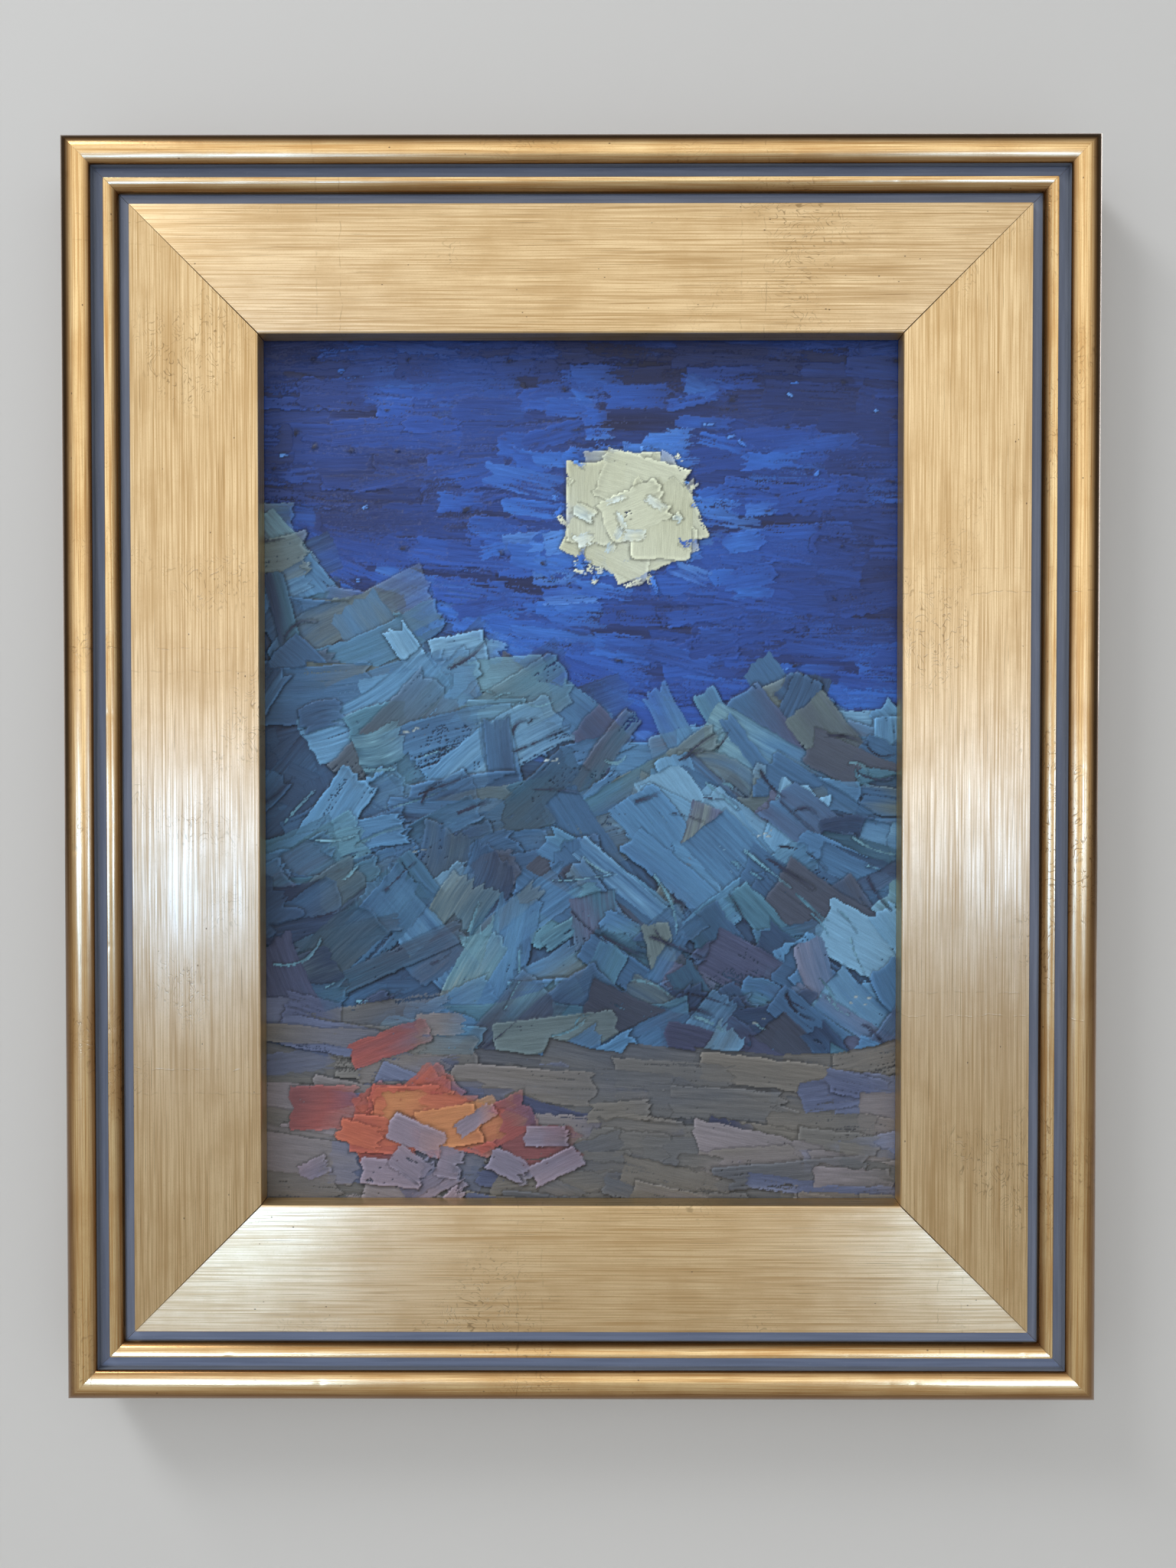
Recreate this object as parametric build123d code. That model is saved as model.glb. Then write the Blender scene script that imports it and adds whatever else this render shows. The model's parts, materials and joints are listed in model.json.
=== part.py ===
from build123d import *

# A gilt, mitred picture frame holding an oil painting on a 9 x 12 in panel, with its fixings and hanging hardware.
# +Z is up, the painting faces -Y and the back plane of the rails is Y = 0. The origin is the middle of the rear
# bottom edge. All sizes are in millimetres.

import os
from math import atan, cos, degrees, radians, sin

INCH = 25.4

# Painting and what stands behind it
PICTURE_WIDTH = 9 * INCH
PICTURE_HEIGHT = 12 * INCH
PANEL_THICKNESS = 3.2
PAINT_THICKNESS = 0.8
BOARD_PLAY = 1.4  # how much smaller than the rabbet the backing board is

# Moulding. s is measured outward from the sight edge, h forward from the back plane.
PICTURE_PLAY = 3.2  # how much larger than the picture the rabbet is
MOULDING_WIDTH = 64.6
RABBET_WIDTH = 9.5
RABBET_DEPTH = 9.5
SIGHT_H = 16.5  # front of the panel at the sight edge
SIGHT_ROUND = 0.9
PANEL_EDGE_S = 42.2
PANEL_EDGE_H = 17.2
INNER_GROOVE_H = 15.4
SMALL_BEAD_FOOT_S = 45.6
SMALL_BEAD_FOOT_H = 16.1
SMALL_BEAD_TOP_S = 49.9
SMALL_BEAD_TOP_H = 19.1
SMALL_BEAD_BELLY = (47.3, 18.35)
OUTER_GROOVE_H = 17.3
RIM_FOOT_S = 53.6
RIM_FOOT_H = 20.4
RIM_CREST_H = 22.0
RIM_ROUND = 6.4
RIM_FOOT_ROUND = 1.0
ARRIS_ROUND = 0.25
MITRE_GAP = 0.25  # how far each rail falls short of the true mitre at the sight corner

# Corner underpins
PIN_LEG = 7.0
PIN_SPREAD = 50.0  # degrees between a leg and the mitre
PIN_THICKNESS = 0.8
PIN_HEIGHT = 8.0
PIN_SINK = 0.2
PIN_PLACES = (34.0, 66.0)  # along the mitre, from the sight corner

# Wood screws
SHANK_RADIUS = 2.0
CORE_RADIUS = 1.5
SHANK_LENGTH = 5.0
SCREW_LENGTH = 13.0
SCREW_TIP = 3.0
HEAD_RADIUS = 3.7
HEAD_HEIGHT = 2.3
RECESS_RADIUS = 2.1
RECESS_DEPTH = 1.5
RECESS_WIDTH = 0.9
RUNNING_GAP = 0.08

# Turn buttons
BUTTON_LENGTH = 28.0
BUTTON_WIDTH = 10.0
BUTTON_THICKNESS = 1.2
BUTTON_LIFT_LENGTH = 6.0
BUTTON_LIFT = 1.5
BUTTON_GAP = 0.1  # under and over the plate
BUTTON_SET_BACK = 8.0  # screw to rabbet wall
BUTTON_SPACING = 220.0

# Ring hangers
HANGER_HEIGHT_SHARE = 2 / 3
HINGE_SET_BACK = 16.0  # hinge to rabbet wall
STRAP_WIDTH = 10.0
STRAP_LENGTH = 24.0
STRAP_SHEET = 0.8
STRAP_HOLE = 17.0  # hinge to screw
RING_WIRE_RADIUS = 1.2
RING_CORNER = 2.5
RING_SIDE = 4.0
RING_ARC = 9.5
RING_REST_TILT = 2.5  # degrees, because the ring lies on the wire's loop

# Hanging wire
WIRE_RADIUS = 0.5
WIRE_LOOP_GAP = 0.15
WIRE_SAG = 36.0
WIRE_MIDDLE_Y = 1.7
WIRE_TAIL_RADIUS = 1.4  # the wire with its own end wrapped round it
WIRE_TAIL_LENGTH = 30.0

# Wall bumpers
BUMPER_RADIUS = 6.5
BUMPER_TOP_RADIUS = 5.6
BUMPER_HEIGHT = 4.6
BUMPER_INSET = 22.0

# Sizes that follow
RABBET_OPEN_WIDTH = PICTURE_WIDTH + PICTURE_PLAY
RABBET_OPEN_HEIGHT = PICTURE_HEIGHT + PICTURE_PLAY
SIGHT_HALF = RABBET_OPEN_WIDTH / 2 - RABBET_WIDTH
OUTER_WIDTH = RABBET_OPEN_WIDTH + 2 * (MOULDING_WIDTH - RABBET_WIDTH)
OUTER_HEIGHT = RABBET_OPEN_HEIGHT + 2 * (MOULDING_WIDTH - RABBET_WIDTH)
MIDDLE_Z = OUTER_HEIGHT / 2
RABBET_FLOOR_Z = MOULDING_WIDTH - RABBET_WIDTH
BOARD_THICKNESS = RABBET_DEPTH - PAINT_THICKNESS - PANEL_THICKNESS
BUTTON_X = RABBET_OPEN_WIDTH / 2 + BUTTON_SET_BACK
BUTTON_Z = RABBET_FLOOR_Z - BUTTON_SET_BACK
HINGE_X = RABBET_OPEN_WIDTH / 2 + HINGE_SET_BACK
HINGE_Z = OUTER_HEIGHT * HANGER_HEIGHT_SHARE
KNUCKLE_BORE = RING_WIRE_RADIUS + RUNNING_GAP
KNUCKLE_RADIUS = KNUCKLE_BORE + STRAP_SHEET
HINGE_Y = KNUCKLE_RADIUS

BACKWARD = (0, 1, 0)


def on_back(x, z, toward, y=0.0):
    """A plane on the frame's back whose x runs toward the given direction and whose z leaves the frame."""
    return Plane(origin=(x, y, z), x_dir=toward, z_dir=BACKWARD)


# ---- Rails ----


def moulding_profile():
    """The moulding's cross-section, drawn with x = -s and y = h."""
    rim_centre_s = MOULDING_WIDTH - RIM_ROUND
    rim_side_h = RIM_CREST_H - RIM_ROUND
    rim_drop = RIM_CREST_H - RIM_FOOT_H
    rim_run = rim_centre_s - RIM_FOOT_S
    roll_radius = (rim_run**2 + rim_drop**2) / (2 * rim_drop)

    back_and_side = Polyline(
        (0, RABBET_DEPTH),
        (-RABBET_WIDTH, RABBET_DEPTH),
        (-RABBET_WIDTH, 0),
        (-MOULDING_WIDTH, 0),
        (-MOULDING_WIDTH, rim_side_h),
    )
    rim_round = CenterArc((-rim_centre_s, rim_side_h), RIM_ROUND, 180, -90)
    rim_roll = RadiusArc((-rim_centre_s, RIM_CREST_H), (-RIM_FOOT_S, RIM_FOOT_H), roll_radius)
    outer_groove = Polyline(
        (-RIM_FOOT_S, RIM_FOOT_H),
        (-RIM_FOOT_S, OUTER_GROOVE_H),
        (-SMALL_BEAD_TOP_S, OUTER_GROOVE_H),
        (-SMALL_BEAD_TOP_S, SMALL_BEAD_TOP_H),
    )
    small_bead = ThreePointArc(
        (-SMALL_BEAD_TOP_S, SMALL_BEAD_TOP_H),
        (-SMALL_BEAD_BELLY[0], SMALL_BEAD_BELLY[1]),
        (-SMALL_BEAD_FOOT_S, SMALL_BEAD_FOOT_H),
    )
    inner_groove_and_panel = Polyline(
        (-SMALL_BEAD_FOOT_S, SMALL_BEAD_FOOT_H),
        (-SMALL_BEAD_FOOT_S, INNER_GROOVE_H),
        (-PANEL_EDGE_S, INNER_GROOVE_H),
        (-PANEL_EDGE_S, PANEL_EDGE_H),
        (0, SIGHT_H),
        (0, RABBET_DEPTH),
    )
    outline = back_and_side + rim_round + rim_roll + outer_groove + small_bead + inner_groove_and_panel
    profile = make_face(outline.edges())

    def corner(s, h):
        return profile.vertices().sort_by_distance((-s, h))[0]

    profile = fillet(corner(0, SIGHT_H), SIGHT_ROUND)
    profile = fillet(corner(RIM_FOOT_S, RIM_FOOT_H), RIM_FOOT_ROUND)
    for s, h in ((PANEL_EDGE_S, PANEL_EDGE_H), (SMALL_BEAD_TOP_S, SMALL_BEAD_TOP_H)):
        profile = fillet(corner(s, h), ARRIS_ROUND)
    return profile


def blank_rail(outer_length):
    """A rail along X with its sight edge on y = 0, its outer edge at y = -MOULDING_WIDTH and its front facing +Z."""
    stick = extrude(Plane.YZ * moulding_profile(), amount=outer_length / 2, both=True)
    long_half = outer_length / 2
    short_half = long_half - MOULDING_WIDTH - MITRE_GAP
    outline = Polyline(
        (-long_half, -MOULDING_WIDTH),
        (long_half, -MOULDING_WIDTH),
        (short_half, 0),
        (-short_half, 0),
        close=True,
    )
    return stick & extrude(make_face(outline), amount=RIM_CREST_H)


def rail_planes():
    """Where each rail goes: the plane's x runs along the rail and its y points into the opening."""
    forward = (0, -1, 0)
    return {
        "bottom_rail": (OUTER_WIDTH, Plane((0, 0, MOULDING_WIDTH), x_dir=(1, 0, 0), z_dir=forward)),
        "top_rail": (OUTER_WIDTH, Plane((0, 0, OUTER_HEIGHT - MOULDING_WIDTH), x_dir=(-1, 0, 0), z_dir=forward)),
        "left_rail": (OUTER_HEIGHT, Plane((-SIGHT_HALF, 0, MIDDLE_Z), x_dir=(0, 0, -1), z_dir=forward)),
        "right_rail": (OUTER_HEIGHT, Plane((SIGHT_HALF, 0, MIDDLE_Z), x_dir=(0, 0, 1), z_dir=forward)),
    }


# ---- Corner underpins ----


def underpin(height, top):
    """A V of steel strip along the mitre: its point is at the origin, its legs open toward -x, its top is at z = top."""
    leg = Pos(-PIN_LEG / 2, PIN_THICKNESS / 2) * Rectangle(PIN_LEG, PIN_THICKNESS)
    other_leg = Pos(-PIN_LEG / 2, -PIN_THICKNESS / 2) * Rectangle(PIN_LEG, PIN_THICKNESS)
    strip = Rot(0, 0, -PIN_SPREAD) * leg + Rot(0, 0, PIN_SPREAD) * other_leg
    return Pos(0, 0, top - height) * extrude(strip, amount=height)


def at_each_mitre(solid):
    """Copies of a solid at every underpin's place, its x along the mitre toward the outer corner."""
    copies = []
    for side_x in (-1, 1):
        for side_z in (-1, 1):
            for along in PIN_PLACES:
                step = along * cos(radians(45))
                x = side_x * (SIGHT_HALF + step)
                z = MIDDLE_Z + side_z * (OUTER_HEIGHT / 2 - MOULDING_WIDTH + step)
                copies.append(on_back(x, z, (side_x, 0, side_z)) * solid)
    return copies


# ---- Screws, buttons and bumpers ----


def wood_screw():
    """A pan-head screw with a cross recess: the head stands on z = 0 and the shank goes down."""
    head = Cylinder(HEAD_RADIUS, HEAD_HEIGHT, align=(Align.CENTER, Align.CENTER, Align.MIN))
    head = fillet(head.edges().group_by(Axis.Z)[-1], HEAD_HEIGHT * 0.75)
    cross = Box(2 * RECESS_RADIUS, RECESS_WIDTH, RECESS_DEPTH) + Box(RECESS_WIDTH, 2 * RECESS_RADIUS, RECESS_DEPTH)
    recess = cross & Cone(RECESS_WIDTH, RECESS_RADIUS, RECESS_DEPTH)
    head -= Pos(0, 0, HEAD_HEIGHT - RECESS_DEPTH / 2) * recess
    down = (Align.CENTER, Align.CENTER, Align.MAX)
    shank = Cylinder(SHANK_RADIUS, SHANK_LENGTH, align=down)
    core_end = SCREW_LENGTH - SCREW_TIP
    core = Pos(0, 0, -SHANK_LENGTH) * Cylinder(CORE_RADIUS, core_end - SHANK_LENGTH, align=down)
    tip = Pos(0, 0, -core_end) * Cone(0.2, CORE_RADIUS, SCREW_TIP, align=down)
    return head + shank + core + tip


def turn_button():
    """A flat plate pivoting on a screw at the origin, with its free end toward +x bent up as a finger lift."""
    tip_x = BUTTON_LENGTH - BUTTON_WIDTH / 2
    bend_x = tip_x - BUTTON_LIFT_LENGTH
    side = Polyline(
        (-BUTTON_WIDTH / 2, 0),
        (bend_x, 0),
        (tip_x, BUTTON_LIFT),
        (tip_x, BUTTON_LIFT + BUTTON_THICKNESS),
        (bend_x, BUTTON_THICKNESS),
        (-BUTTON_WIDTH / 2, BUTTON_THICKNESS),
        close=True,
    )
    strip = extrude(Plane.XZ * make_face(side), amount=BUTTON_WIDTH / 2, both=True)
    straight = BUTTON_LENGTH - BUTTON_WIDTH
    outline = Pos(straight / 2, 0) * SlotCenterToCenter(straight, BUTTON_WIDTH)
    plate = strip & extrude(outline, amount=BUTTON_LIFT + BUTTON_THICKNESS)
    return plate - Cylinder(SHANK_RADIUS + RUNNING_GAP, 4 * BUTTON_THICKNESS)


def button_places():
    """Each turn button's name, pivot and the direction its free end points."""
    upper_z = MIDDLE_Z + BUTTON_SPACING / 2
    lower_z = MIDDLE_Z - BUTTON_SPACING / 2
    return {
        "turn_button_left_upper": (-BUTTON_X, upper_z, (1, 0, 0)),
        "turn_button_left_lower": (-BUTTON_X, lower_z, (1, 0, 0)),
        "turn_button_right_upper": (BUTTON_X, upper_z, (-1, 0, 0)),
        "turn_button_right_lower": (BUTTON_X, lower_z, (-1, 0, 0)),
        "turn_button_top": (0, OUTER_HEIGHT - BUTTON_Z, (0, 0, -1)),
        "turn_button_bottom": (0, BUTTON_Z, (0, 0, 1)),
    }


def bumper(side):
    """A soft foot at a bottom corner that keeps the frame off the wall."""
    foot = Cone(BUMPER_RADIUS, BUMPER_TOP_RADIUS, BUMPER_HEIGHT, align=(Align.CENTER, Align.CENTER, Align.MIN))
    return on_back(side * (OUTER_WIDTH / 2 - BUMPER_INSET), BUMPER_INSET, (1, 0, 0)) * foot


# ---- Ring hangers. Local x runs from the hinge toward the strap's end, y along the hinge, z away from the frame. ----


def hanger_strap():
    """Sheet folded round the ring's bar, with both leaves under one screw."""
    flat_x = KNUCKLE_RADIUS + 2.6
    knuckle = Pos(0, HINGE_Y) * (Circle(KNUCKLE_RADIUS) - Circle(KNUCKLE_BORE))
    leaves = Pos(STRAP_LENGTH / 2, STRAP_SHEET / 2) * Rectangle(STRAP_LENGTH, STRAP_SHEET)
    leaves += Pos((STRAP_LENGTH + flat_x) / 2, 1.5 * STRAP_SHEET) * Rectangle(STRAP_LENGTH - flat_x, STRAP_SHEET)
    slope = make_face(
        Polyline(
            (0.6, HINGE_Y + KNUCKLE_BORE),
            (0.6, HINGE_Y + KNUCKLE_RADIUS - 0.1),
            (flat_x + 0.4, 2 * STRAP_SHEET),
            (flat_x, STRAP_SHEET),
            (flat_x - 0.6, STRAP_SHEET),
            close=True,
        )
    )
    section = knuckle + leaves + (slope - Pos(0, HINGE_Y) * Circle(KNUCKLE_BORE))
    strap = extrude(Plane.XZ * section, amount=STRAP_WIDTH / 2, both=True)
    reach = STRAP_LENGTH + KNUCKLE_RADIUS
    outline = Pos(reach / 2 - KNUCKLE_RADIUS, 0) * Rectangle(reach, STRAP_WIDTH)
    outline = fillet(outline.vertices().group_by(Axis.X)[-1], STRAP_WIDTH * 0.45)
    strap &= extrude(outline, amount=2 * KNUCKLE_RADIUS)
    return strap - Pos(STRAP_HOLE, 0) * Cylinder(SHANK_RADIUS + RUNNING_GAP, 8 * STRAP_SHEET)


def hanger_ring():
    """A D of round wire about a bar on the local y axis, its arc toward -x."""
    half_bar = RING_ARC - RING_CORNER
    arc_x = -(RING_CORNER + RING_SIDE)
    path = Line((0, -half_bar), (0, half_bar))
    path += CenterArc((-RING_CORNER, half_bar), RING_CORNER, 0, 90)
    path += Line((-RING_CORNER, RING_ARC), (arc_x, RING_ARC))
    path += CenterArc((arc_x, 0), RING_ARC, 90, 180)
    path += Line((arc_x, -RING_ARC), (-RING_CORNER, -RING_ARC))
    path += CenterArc((-RING_CORNER, -half_bar), RING_CORNER, 270, 90)
    section = Plane.XZ * Circle(RING_WIRE_RADIUS)
    return sweep(section, path=Wire(path.edges()))


def hanger_plane(side, y=0.0):
    """The plane of the left (-1) or right (+1) hanger, its x toward the frame's outer edge."""
    return on_back(side * HINGE_X, HINGE_Z, (side, 0, 0), y)


# ---- Hanging wire ----


def wire_solid():
    """A sagging wire looped through both rings, each end wrapped back on itself."""
    ring_plane = hanger_plane(-1, HINGE_Y) * Rot(0, RING_REST_TILT, 0)
    loop_radius = RING_WIRE_RADIUS + WIRE_LOOP_GAP + WIRE_RADIUS
    # The sag sets the angle at which the wire leaves a ring, and so where on the ring's arc its loop sits.
    rough_half_span = HINGE_X - RING_CORNER - RING_SIDE - RING_ARC
    leave = degrees(atan(2 * WIRE_SAG / rough_half_span))
    arc_x = -(RING_CORNER + RING_SIDE)
    toward = Vector(-cos(radians(leave)), -sin(radians(leave)))
    centre = Vector(arc_x, 0) + toward * RING_ARC
    exit_point = (ring_plane * Pos(*(centre + toward * loop_radius))).position
    along_bar = Vector(-sin(radians(leave)), cos(radians(leave)))
    loop_plane = Plane(origin=centre, z_dir=along_bar)
    left_loop = ring_plane * (loop_plane.location * Torus(loop_radius, WIRE_RADIUS))

    half_span = -exit_point.X

    def point(share):
        """A point of the wire, with share running from -1 at the left ring to 1 at the right one."""
        x = share * half_span
        y = WIRE_MIDDLE_Y + (exit_point.Y - WIRE_MIDDLE_Y) * abs(share) ** 8
        z = exit_point.Z - WIRE_SAG * (1 - share**2)
        return Vector(x, y, z)

    def run(first, last, radius, steps=12):
        path = Spline(*[point(first + (last - first) * i / steps) for i in range(steps + 1)])
        section = Plane(origin=path @ 0, z_dir=path % 0) * Circle(radius)
        return sweep(section, path=path)

    tail_share = 1 - WIRE_TAIL_LENGTH / half_span
    tail_start = 1 - 1.5 / half_span
    left_half = run(-1, 0, WIRE_RADIUS) + run(-tail_start, -tail_share, WIRE_TAIL_RADIUS) + left_loop
    return left_half + left_half.mirror(Plane.YZ)


# ---- Assembly ----


def box(width, height, y_front, thickness):
    """A board standing on the rabbet's floor."""
    centre = (0, y_front + thickness / 2, RABBET_FLOOR_Z + height / 2)
    return Pos(*centre) * Box(width, thickness, height)


def build():
    nodes = {}
    screw = wood_screw()
    button_screw_y = BUTTON_THICKNESS + 2 * BUTTON_GAP
    hanger_screw_y = 2 * STRAP_SHEET
    button_screws = [on_back(x, z, (1, 0, 0), button_screw_y) * screw for x, z, _ in button_places().values()]
    strap_hole_x = HINGE_X + STRAP_HOLE
    hanger_screws = [on_back(side * strap_hole_x, HINGE_Z, (1, 0, 0), hanger_screw_y) * screw for side in (-1, 1)]
    pockets = at_each_mitre(underpin(PIN_HEIGHT, 0))

    for name, (length, plane) in rail_planes().items():
        rail = plane * blank_rail(length)
        for tool in pockets + button_screws + hanger_screws:
            if rail.bounding_box().overlaps(tool.bounding_box()):
                rail -= tool
        nodes[name] = rail

    nodes["corner_underpins"] = at_each_mitre(underpin(PIN_HEIGHT - PIN_SINK, -PIN_SINK))
    nodes["oil_paint_layer"] = box(PICTURE_WIDTH, PICTURE_HEIGHT, -RABBET_DEPTH, PAINT_THICKNESS)
    panel_front = -RABBET_DEPTH + PAINT_THICKNESS
    nodes["painting_panel"] = box(PICTURE_WIDTH, PICTURE_HEIGHT, panel_front, PANEL_THICKNESS)
    board_size = (RABBET_OPEN_WIDTH - BOARD_PLAY, RABBET_OPEN_HEIGHT - BOARD_PLAY)
    nodes["backing_board"] = box(*board_size, -BOARD_THICKNESS, BOARD_THICKNESS)

    for name, (x, z, toward) in button_places().items():
        nodes[name] = on_back(x, z, toward, BUTTON_GAP) * turn_button()
    nodes["turn_button_screws"] = button_screws
    nodes["hanger_screws"] = hanger_screws

    strap, ring = hanger_strap(), hanger_ring()
    for name, side in (("left", -1), ("right", 1)):
        nodes[f"hanger_strap_{name}"] = hanger_plane(side) * strap
        tilt = Rot(0, RING_REST_TILT, 0)
        nodes[f"hanger_ring_{name}"] = hanger_plane(side, HINGE_Y) * (tilt * ring)
        nodes[f"wall_bumper_{name}"] = bumper(side)
    nodes["hanging_wire"] = wire_solid()
    return nodes


def save(name, shape):
    solids = shape if isinstance(shape, list) else [shape]
    solids = [solid for each in solids for solid in each.solids()]
    export_step(Compound(children=solids) if len(solids) > 1 else solids[0], f"parts/{name}.step")


os.makedirs("parts", exist_ok=True)
for node_name, node_shape in build().items():
    save(node_name, node_shape)
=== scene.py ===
import cmath
import json
import math

import bpy
import bmesh
import numpy as np
from mathutils import Matrix, Vector


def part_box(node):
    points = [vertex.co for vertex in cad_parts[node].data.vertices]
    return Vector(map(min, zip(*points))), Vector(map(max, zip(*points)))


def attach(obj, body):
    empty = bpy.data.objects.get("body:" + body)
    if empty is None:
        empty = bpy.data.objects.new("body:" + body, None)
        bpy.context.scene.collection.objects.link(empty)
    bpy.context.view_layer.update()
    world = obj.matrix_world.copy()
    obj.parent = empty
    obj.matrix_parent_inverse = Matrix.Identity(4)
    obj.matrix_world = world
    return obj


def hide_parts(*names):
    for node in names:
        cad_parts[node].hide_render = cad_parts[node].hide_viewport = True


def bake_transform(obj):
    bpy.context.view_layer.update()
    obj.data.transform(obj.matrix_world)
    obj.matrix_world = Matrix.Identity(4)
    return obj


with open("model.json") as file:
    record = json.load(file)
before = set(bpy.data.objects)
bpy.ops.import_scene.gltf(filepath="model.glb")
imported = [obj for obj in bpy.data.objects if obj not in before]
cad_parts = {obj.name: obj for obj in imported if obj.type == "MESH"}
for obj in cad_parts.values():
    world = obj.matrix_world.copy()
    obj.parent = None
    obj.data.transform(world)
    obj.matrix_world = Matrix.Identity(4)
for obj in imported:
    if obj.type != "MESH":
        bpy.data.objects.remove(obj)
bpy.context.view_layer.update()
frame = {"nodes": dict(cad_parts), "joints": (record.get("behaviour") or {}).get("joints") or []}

MM = 0.001

# ---- Sizes, in metres, from the frame ----

RAIL_LOW, RAIL_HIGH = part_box("left_rail")
OUTER_HALF = -RAIL_LOW.x
OUTER_HEIGHT = RAIL_HIGH.z
SIGHT_HALF = -RAIL_HIGH.x
MOULDING_WIDTH = OUTER_HALF - SIGHT_HALF
MIDDLE_Z = OUTER_HEIGHT / 2
SIGHT_HALF_HEIGHT = MIDDLE_Z - MOULDING_WIDTH
CREST_H = -RAIL_LOW.y
PAINT_LOW, PAINT_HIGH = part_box("oil_paint_layer")
BOARD_LOW, BOARD_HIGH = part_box("backing_board")
RABBET_H = -PAINT_LOW.y
RABBET_WIDTH = 9.5 * MM
MITRE_GAP = 0.25 * MM

# ---- Node trees ----


class Tree:
    """The node tree of a material or a world, with one short method for each kind of node used here."""

    def __init__(self, owner):
        owner.use_nodes = True
        self.owner = owner
        self.nodes = owner.node_tree.nodes
        self.links = owner.node_tree.links

    def set(self, node, inputs):
        """Links or sets inputs, given as names with _ for a space, or as numbers."""
        for key, value in inputs.items():
            socket = node.inputs[key.replace("_", " ")] if isinstance(key, str) else node.inputs[key]
            if isinstance(value, bpy.types.NodeSocket):
                self.links.new(value, socket)
            else:
                socket.default_value = value

    def add(self, kind, inputs=None, **settings):
        node = self.nodes.new("ShaderNode" + kind)
        for key, value in settings.items():
            setattr(node, key, value)
        self.set(node, inputs or {})
        return node

    def math(self, operation, a, b=0.0, clamp=False):
        return self.add("Math", {0: a, 1: b}, operation=operation, use_clamp=clamp).outputs[0]

    def plus(self, a, b):
        return self.math("ADD", a, b)

    def times(self, a, b):
        return self.math("MULTIPLY", a, b)

    def uv(self, layer="rail"):
        return self.add("UVMap", uv_map=layer).outputs[0]

    def place(self):
        return self.add("TexCoord").outputs["Object"]

    def split(self, vector):
        return self.add("SeparateXYZ", {0: vector}).outputs

    def stretch(self, place, scale, shift=(0, 0, 0)):
        """A place times a scale, which is one number or one for each axis, and then shifted."""
        scale = scale if isinstance(scale, tuple) else (scale, scale, scale)
        return self.add("Mapping", {"Vector": place, "Scale": scale, "Location": shift}).outputs[0]

    def noise(self, place, scale, detail=2.0, roughness=0.5, distortion=0.0, shift=(0, 0, 0)):
        inputs = {"Vector": self.stretch(place, scale, shift), "Scale": 1.0, "Detail": detail}
        return self.add("TexNoise", {**inputs, "Roughness": roughness, "Distortion": distortion}).outputs[0]

    def cells(self, place, scale):
        inputs = {"Vector": self.stretch(place, scale), "Scale": 1.0}
        return self.add("TexVoronoi", inputs).outputs["Distance"]

    def between(self, value, low, high, start=0.0, end=1.0):
        """value from low..high to start..end, smoothly and clamped."""
        inputs = {"Value": value, "From Min": low, "From Max": high, "To Min": start, "To Max": end}
        return self.add("MapRange", inputs, interpolation_type="SMOOTHSTEP").outputs[0]

    def line(self, value, at, outer, inner):
        """1 where value is within inner of a place, falling to 0 at outer."""
        return self.between(self.math("ABSOLUTE", self.math("SUBTRACT", value, at)), outer, inner)

    def mix(self, share, a, b, blend="MIX"):
        a, b = (c if isinstance(c, bpy.types.NodeSocket) else (*c, 1) for c in (a, b))
        return self.add("Mix", {0: share, 6: a, 7: b}, data_type="RGBA", blend_type=blend).outputs[2]

    def tint(self, base, pattern, low, high, most, colour):
        """The base mixed toward a colour by up to a share, as a pattern goes from low to high."""
        return self.mix(self.between(pattern, low, high, 0, most), base, colour)

    def bump(self, height, distance, strength=1.0, rounded_edge=None):
        """A bumpy normal, over edges that look rounded by a radius if one is given."""
        inputs = {"Height": height, "Distance": distance, "Strength": strength}
        if rounded_edge is not None:
            inputs["Normal"] = self.add("Bevel", {"Radius": rounded_edge}, samples=4).outputs[0]
        return self.add("Bump", inputs).outputs[0]

    def finish(self, **principled):
        """Sets the material's shader, and gives the material."""
        self.set(self.nodes["Principled BSDF"], principled)
        return self.owner


def material_tree(name):
    return Tree(bpy.data.materials.new(name))


def srgb(red, green, blue):
    """A linear colour from the 0 to 255 numbers of a screen."""
    return tuple(((c / 255 + 0.055) / 1.055) ** 2.4 if c > 10 else c / 3294 for c in (red, green, blue))


def darker(colour, share):
    return [channel * share for channel in colour]


# ---- Meshes ----


def add_object(name, data):
    """A new object, placed in the scene."""
    made = bpy.data.objects.new(name, data)
    bpy.context.scene.collection.objects.link(made)
    return made


def mesh_object(name, points, faces, materials, face_materials=None):
    """A piece with smooth shading."""
    mesh = bpy.data.meshes.new(name)
    mesh.from_pydata([tuple(p) for p in points], [], faces)
    for material in materials:
        mesh.materials.append(material)
    if face_materials is not None:
        mesh.polygons.foreach_set("material_index", face_materials)
    mesh.polygons.foreach_set("use_smooth", [True] * len(mesh.polygons))
    return add_object(name, mesh)


def keep_crisp(piece, degrees):
    """Keeps edges steeper than this angle crisp."""
    piece.data.set_sharp_from_angle(angle=math.radians(degrees))


def stand_in(piece, node):
    """Puts a finer piece in place of a CAD node of the fixed frame."""
    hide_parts(node)
    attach(piece, "frame")


def sleeve_faces(rings, sides):
    """The faces of a closed sleeve made of rings of points, and of its two ends."""
    faces = []
    for i in range(rings - 1):
        for j in range(sides):
            k = (j + 1) % sides
            faces.append((i * sides + j, i * sides + k, (i + 1) * sides + k, (i + 1) * sides + j))
    first_end = tuple(range(sides - 1, -1, -1))
    last_end = tuple((rings - 1) * sides + j for j in range(sides))
    return faces + [first_end, last_end]


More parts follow.
